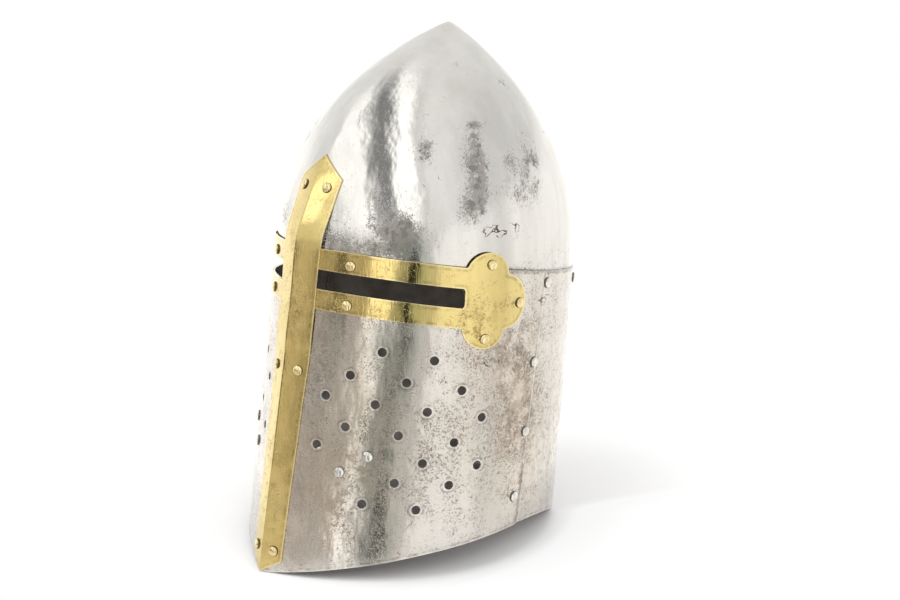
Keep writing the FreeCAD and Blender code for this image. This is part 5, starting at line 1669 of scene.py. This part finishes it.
# ============================================================ floor
def floor_material():
    m = Material("pale_floor", (0.90, 0.90, 0.895))
    mottle = m.noise(scale=2.5, detail=3)
    m.over((0.885, 0.885, 0.88), m.ramp(mottle, span=(0.3, 0.7), to=(0, 1)))
    m.finish(rough=0.75, specular=0.2)
    blend = lambda fac, a, b: m.node("MixShader", {0: fac, 1: a, 2: b}).outputs[0]
    clear = lambda: m.node("BsdfTransparent").outputs[0]
    rays = m.node("LightPath").outputs
    x, y, _ = m.separate(m.coords)
    # mirrored rays see the floor only near the helm; further off they see the room below
    away = m.ramp(m.length(x, y), span=(0.135, 0.23))
    shader = blend(m.mul(rays["Is Glossy Ray"], away), m.shader.outputs[0], clear())
    # away from the helm the floor washes out to white for the camera, an even backdrop; near the
    # helm's outline the white glow is partly mixed in, painted light that thins the contact
    # shadow, and it stays off under the helm and behind it
    white = m.node("Emission", {"Color": (1, 1, 1), "Strength": 1.0}).outputs[0]
    oval = m.length(m.mul(x, 1 / 0.117), m.mul(m.add(y, 0.0100), 1 / 0.147))
    behind = m.ramp(m.add(m.mul(y, 0.72), m.mul(x, -0.70)), span=(0.0, 0.06), to=(0.0, 0.75))
    oval = m.sub(oval, behind)
    backdrop_and_shadow_glow = m.most(m.ramp(oval, span=(0.97, 1.10), to=(0.0, 0.62)),
                  m.ramp(oval, span=(0.98, 1.55), to=(0.20, 1.0)))
    backdrop_and_shadow_glow = m.mul(m.ramp(oval, span=(0.92, 1.0)), backdrop_and_shadow_glow)
    shader = blend(m.mul(rays["Is Camera Ray"], backdrop_and_shadow_glow), shader, white)
    # seen from below the floor is clear, so that the inside can be looked at
    back = m.node("NewGeometry").outputs["Backfacing"]
    shader = blend(back, shader, clear())
    m.put(m.tree.nodes["Material Output"].inputs["Surface"], shader)
    return m.made


def build_floor():
    """A disc 6 m in radius (metres), just under z = 0, with close rings in the middle."""
    n, z = 72, -0.0004
    radii = np.concatenate([np.linspace(0, 0.5, 30)[1:], np.linspace(0.6, 6, 10)])
    angles = np.linspace(0, 2 * math.pi, n, endpoint=False)
    verts = [(0, 0, z)] + [(r * math.cos(a), r * math.sin(a), z) for r in radii for a in angles]
    faces = [(0, 1 + j, 1 + (j + 1) % n) for j in range(n)]
    rings = 1 + np.arange(len(radii) * n).reshape(-1, n)
    for a, b in zip(rings[:-1], rings[1:]):
        faces += quads_across(a, b)
    mesh = bpy.data.meshes.new("floor")
    mesh.from_pydata(verts, [], faces)
    floor = bpy.data.objects.new("floor", mesh)
    bpy.context.scene.collection.objects.link(floor)
    mesh.materials.append(floor_material())


# ============================================================ world: the mirrored room
# upper room in front: degrees from the plane square to WINDOW_AXIS, brightness
WINDOW_AXIS = (0.744, 0.561, 0.364)
WINDOWS = (
    (-90, 1.0), (-34, 1.0), (-27, 1.02), (-22, 1.45), (-14.5, 1.60), (-12, 0.95), (-9, 0.50),
    (-6, 0.28), (-2.5, 0.32), (0, 0.85), (2.5, 1.75), (8, 1.65), (11, 1.10), (14, 0.92),
    (18, 1.10), (28, 1.10), (36, 1.02), (46, 0.93), (60, 0.91), (90, 0.90))
UPPER_BACK = ((-90, 1.0), (20, 1.02), (42, 0.98), (55, 0.90), (90, 0.88))
# things round the helm: compass degrees (0 ahead of the face, + to its left), brightness
AROUND = (
    (-180, 1.30), (-90, 1.38), (-60, 1.25), (-46, 0.80), (-36, 0.20), (-17, 0.16),
    (-12.5, 0.78), (-8, 0.70), (-5, 0.48), (0, 0.55), (3.5, 0.18), (7, 0.24), (9.5, 0.70),
    (15, 0.52), (18, 0.62), (20, 1.55), (25, 1.75), (28, 1.55), (30, 0.60), (35, 0.36),
    (38, 0.03), (42, 0.06), (45, 0.66), (51, 0.84), (54, 0.70), (57, 1.18), (66, 1.34),
    (90, 1.24), (115, 1.02), (134, 1.25), (160, 1.28), (180, 1.30))
# compass degrees, strength of a tint
GREEN = ((-180, 0), (31, 0), (38, 1), (44, 1), (52, 0), (180, 0))
WARM = ((-180, 0), (-30, 0), (-8, 1), (18, 1), (24, 0.3), (32, 0), (180, 0))
FOOT = ((-180, 0), (-45, 0), (-30, 1), (4, 1), (9, 0), (180, 0))
LAMP_AXIS = (-0.312, -0.773, 0.552)


def sin_deg(degrees):
    return math.sin(math.radians(degrees))


def build_world():
    world = bpy.data.worlds.new("studio")
    bpy.context.scene.world = world
    world.use_nodes = True
    w = Graph(world.node_tree)
    coords = w.node("TexCoord").outputs["Generated"]
    ray = w.node("VectorMath", {0: coords}, operation="NORMALIZE").outputs[0]
    x, y, z = w.separate(ray)

    def dot(axis):
        return w.node("VectorMath", {0: ray, 1: axis}, operation="DOT_PRODUCT").outputs["Value"]

    def stops(value, points, top):
        """Brightness over value (0 to 1); top scales it into the ramp's range."""
        node = w.node("ValToRGB", {0: value})
        elements = node.color_ramp.elements
        while len(elements) > 1:
            elements.remove(elements[-1])
        for k, (place_, level) in enumerate(points):
            element = elements[0] if k == 0 else elements.new(place_)
            element.position = place_
            element.color = (level / top,) * 3 + (1,)
        return w.mul(node.outputs[0], top)

    half_shift = lambda value, scale: w.math("MULTIPLY_ADD", value, scale, 0.5)
    slant = half_shift(dot(WINDOW_AXIS), 0.5)
    by_slant = lambda table, top: stops(
        slant, [((sin_deg(a) + 1) / 2, level) for a, level in table], top)
    turn = half_shift(w.math("ARCTAN2", x, w.mul(y, -1.0)), 0.5 / math.pi)
    by_turn = lambda table, top: stops(turn, [(a / 360 + 0.5, level) for a, level in table], top)

    upper = w.mix(w.ramp(y, span=(-0.22, 0.18)), by_slant(WINDOWS, 1.8),
                  by_slant(UPPER_BACK, 1.6))
    lower = by_turn(AROUND, 1.8)
    for table, tint in ((WARM, (1.0, 0.93, 0.845)), (GREEN, (0.93, 1.02, 0.90))):
        lower = w.mix(1.0, lower, w.mix(by_turn(table, 1.0), (1, 1, 1), tint), "MULTIPLY")
    below = w.ramp(z, span=(sin_deg(-3.5), sin_deg(-7)))
    lower = w.mix(w.mul(below, by_turn(FOOT, 1.0)), lower, (0.84, 0.79, 0.745))
    room = w.mix(w.ramp(z, span=(sin_deg(3), sin_deg(19))), lower, upper)
    # one lamp, a small hot spot on the brass
    spot = w.ramp(dot(LAMP_AXIS), span=(0.9935, 0.9990), to=(0.0, 0.9))
    room = w.mix(1.0, room, w.mix(spot, (0, 0, 0), (1, 1, 0.97)), "ADD")
    # mirrored rays see the room, the camera sees white, the rest an even pale light
    rays = w.node("LightPath").outputs
    cast = w.mix(w.ramp(z, span=(-0.3, 0.4)), (1.0, 0.985, 0.958), (1.0, 0.995, 0.982))
    seen = w.mix(1.0, cast, room, "MULTIPLY")
    seen = w.mix(rays["Is Glossy Ray"], (0.98, 0.98, 0.985), seen)
    seen = w.mix(rays["Is Camera Ray"], seen, (1.0, 1.0, 1.0))
    background = w.tree.nodes["Background"]
    w.put(background.inputs["Color"], seen)
    w.put(background.inputs["Strength"], 1.0)


# ============================================================ lights and camera (metres, watts)
def area_light(name, location, target, size, power):
    light = bpy.data.lights.new(name, "AREA")
    light.energy, light.size = power, size
    obj = bpy.data.objects.new(name, light)
    bpy.context.scene.collection.objects.link(obj)
    obj.location = location
    aim = Vector(target) - Vector(location)
    obj.rotation_euler = aim.to_track_quat("-Z", "Y").to_euler()
    obj.visible_glossy = False
    return obj


def build_lights():
    area_light("key", location=(-0.4, -0.9, 1.9), target=(0, 0, 0.1), size=1.4, power=16)
    area_light("fill", location=(1.6, 0.2, 1.3), target=(0, 0, 0.15), size=1.2, power=8)
    # a faint light through the open bottom, so that the inside isn't black
    inside_light = area_light("inside", location=(0, 0, 0.003), target=(0, 0.001, 0.3),
                              size=0.14, power=0.10)
    inside_light.visible_camera = False


def build_camera():
    scene = bpy.context.scene
    camera = bpy.data.objects.new("camera", bpy.data.cameras.new("camera"))
    scene.collection.objects.link(camera)
    camera.location = (0.682784, -0.660697 + SHIFT * MM, 0.418071)
    camera.rotation_euler = (math.radians(90 - 14.59), 0, math.radians(44.29))
    camera.data.lens, camera.data.sensor_width = 51.35, 36
    camera.data.clip_start = 0.01
    scene.camera = camera
    scene.view_settings.view_transform = "Standard"
    scene.view_settings.look = "None"


for build in (build_face_plate, build_rear_plate, build_arms, build_keel_bar, build_dome,
              build_rivets, build_band, build_petals, build_lace, build_straps, build_tabs,
              build_buckle, build_keeper, dress_washers, build_floor, build_world,
              build_lights, build_camera):
    build()

bpy.context.view_layer.update()
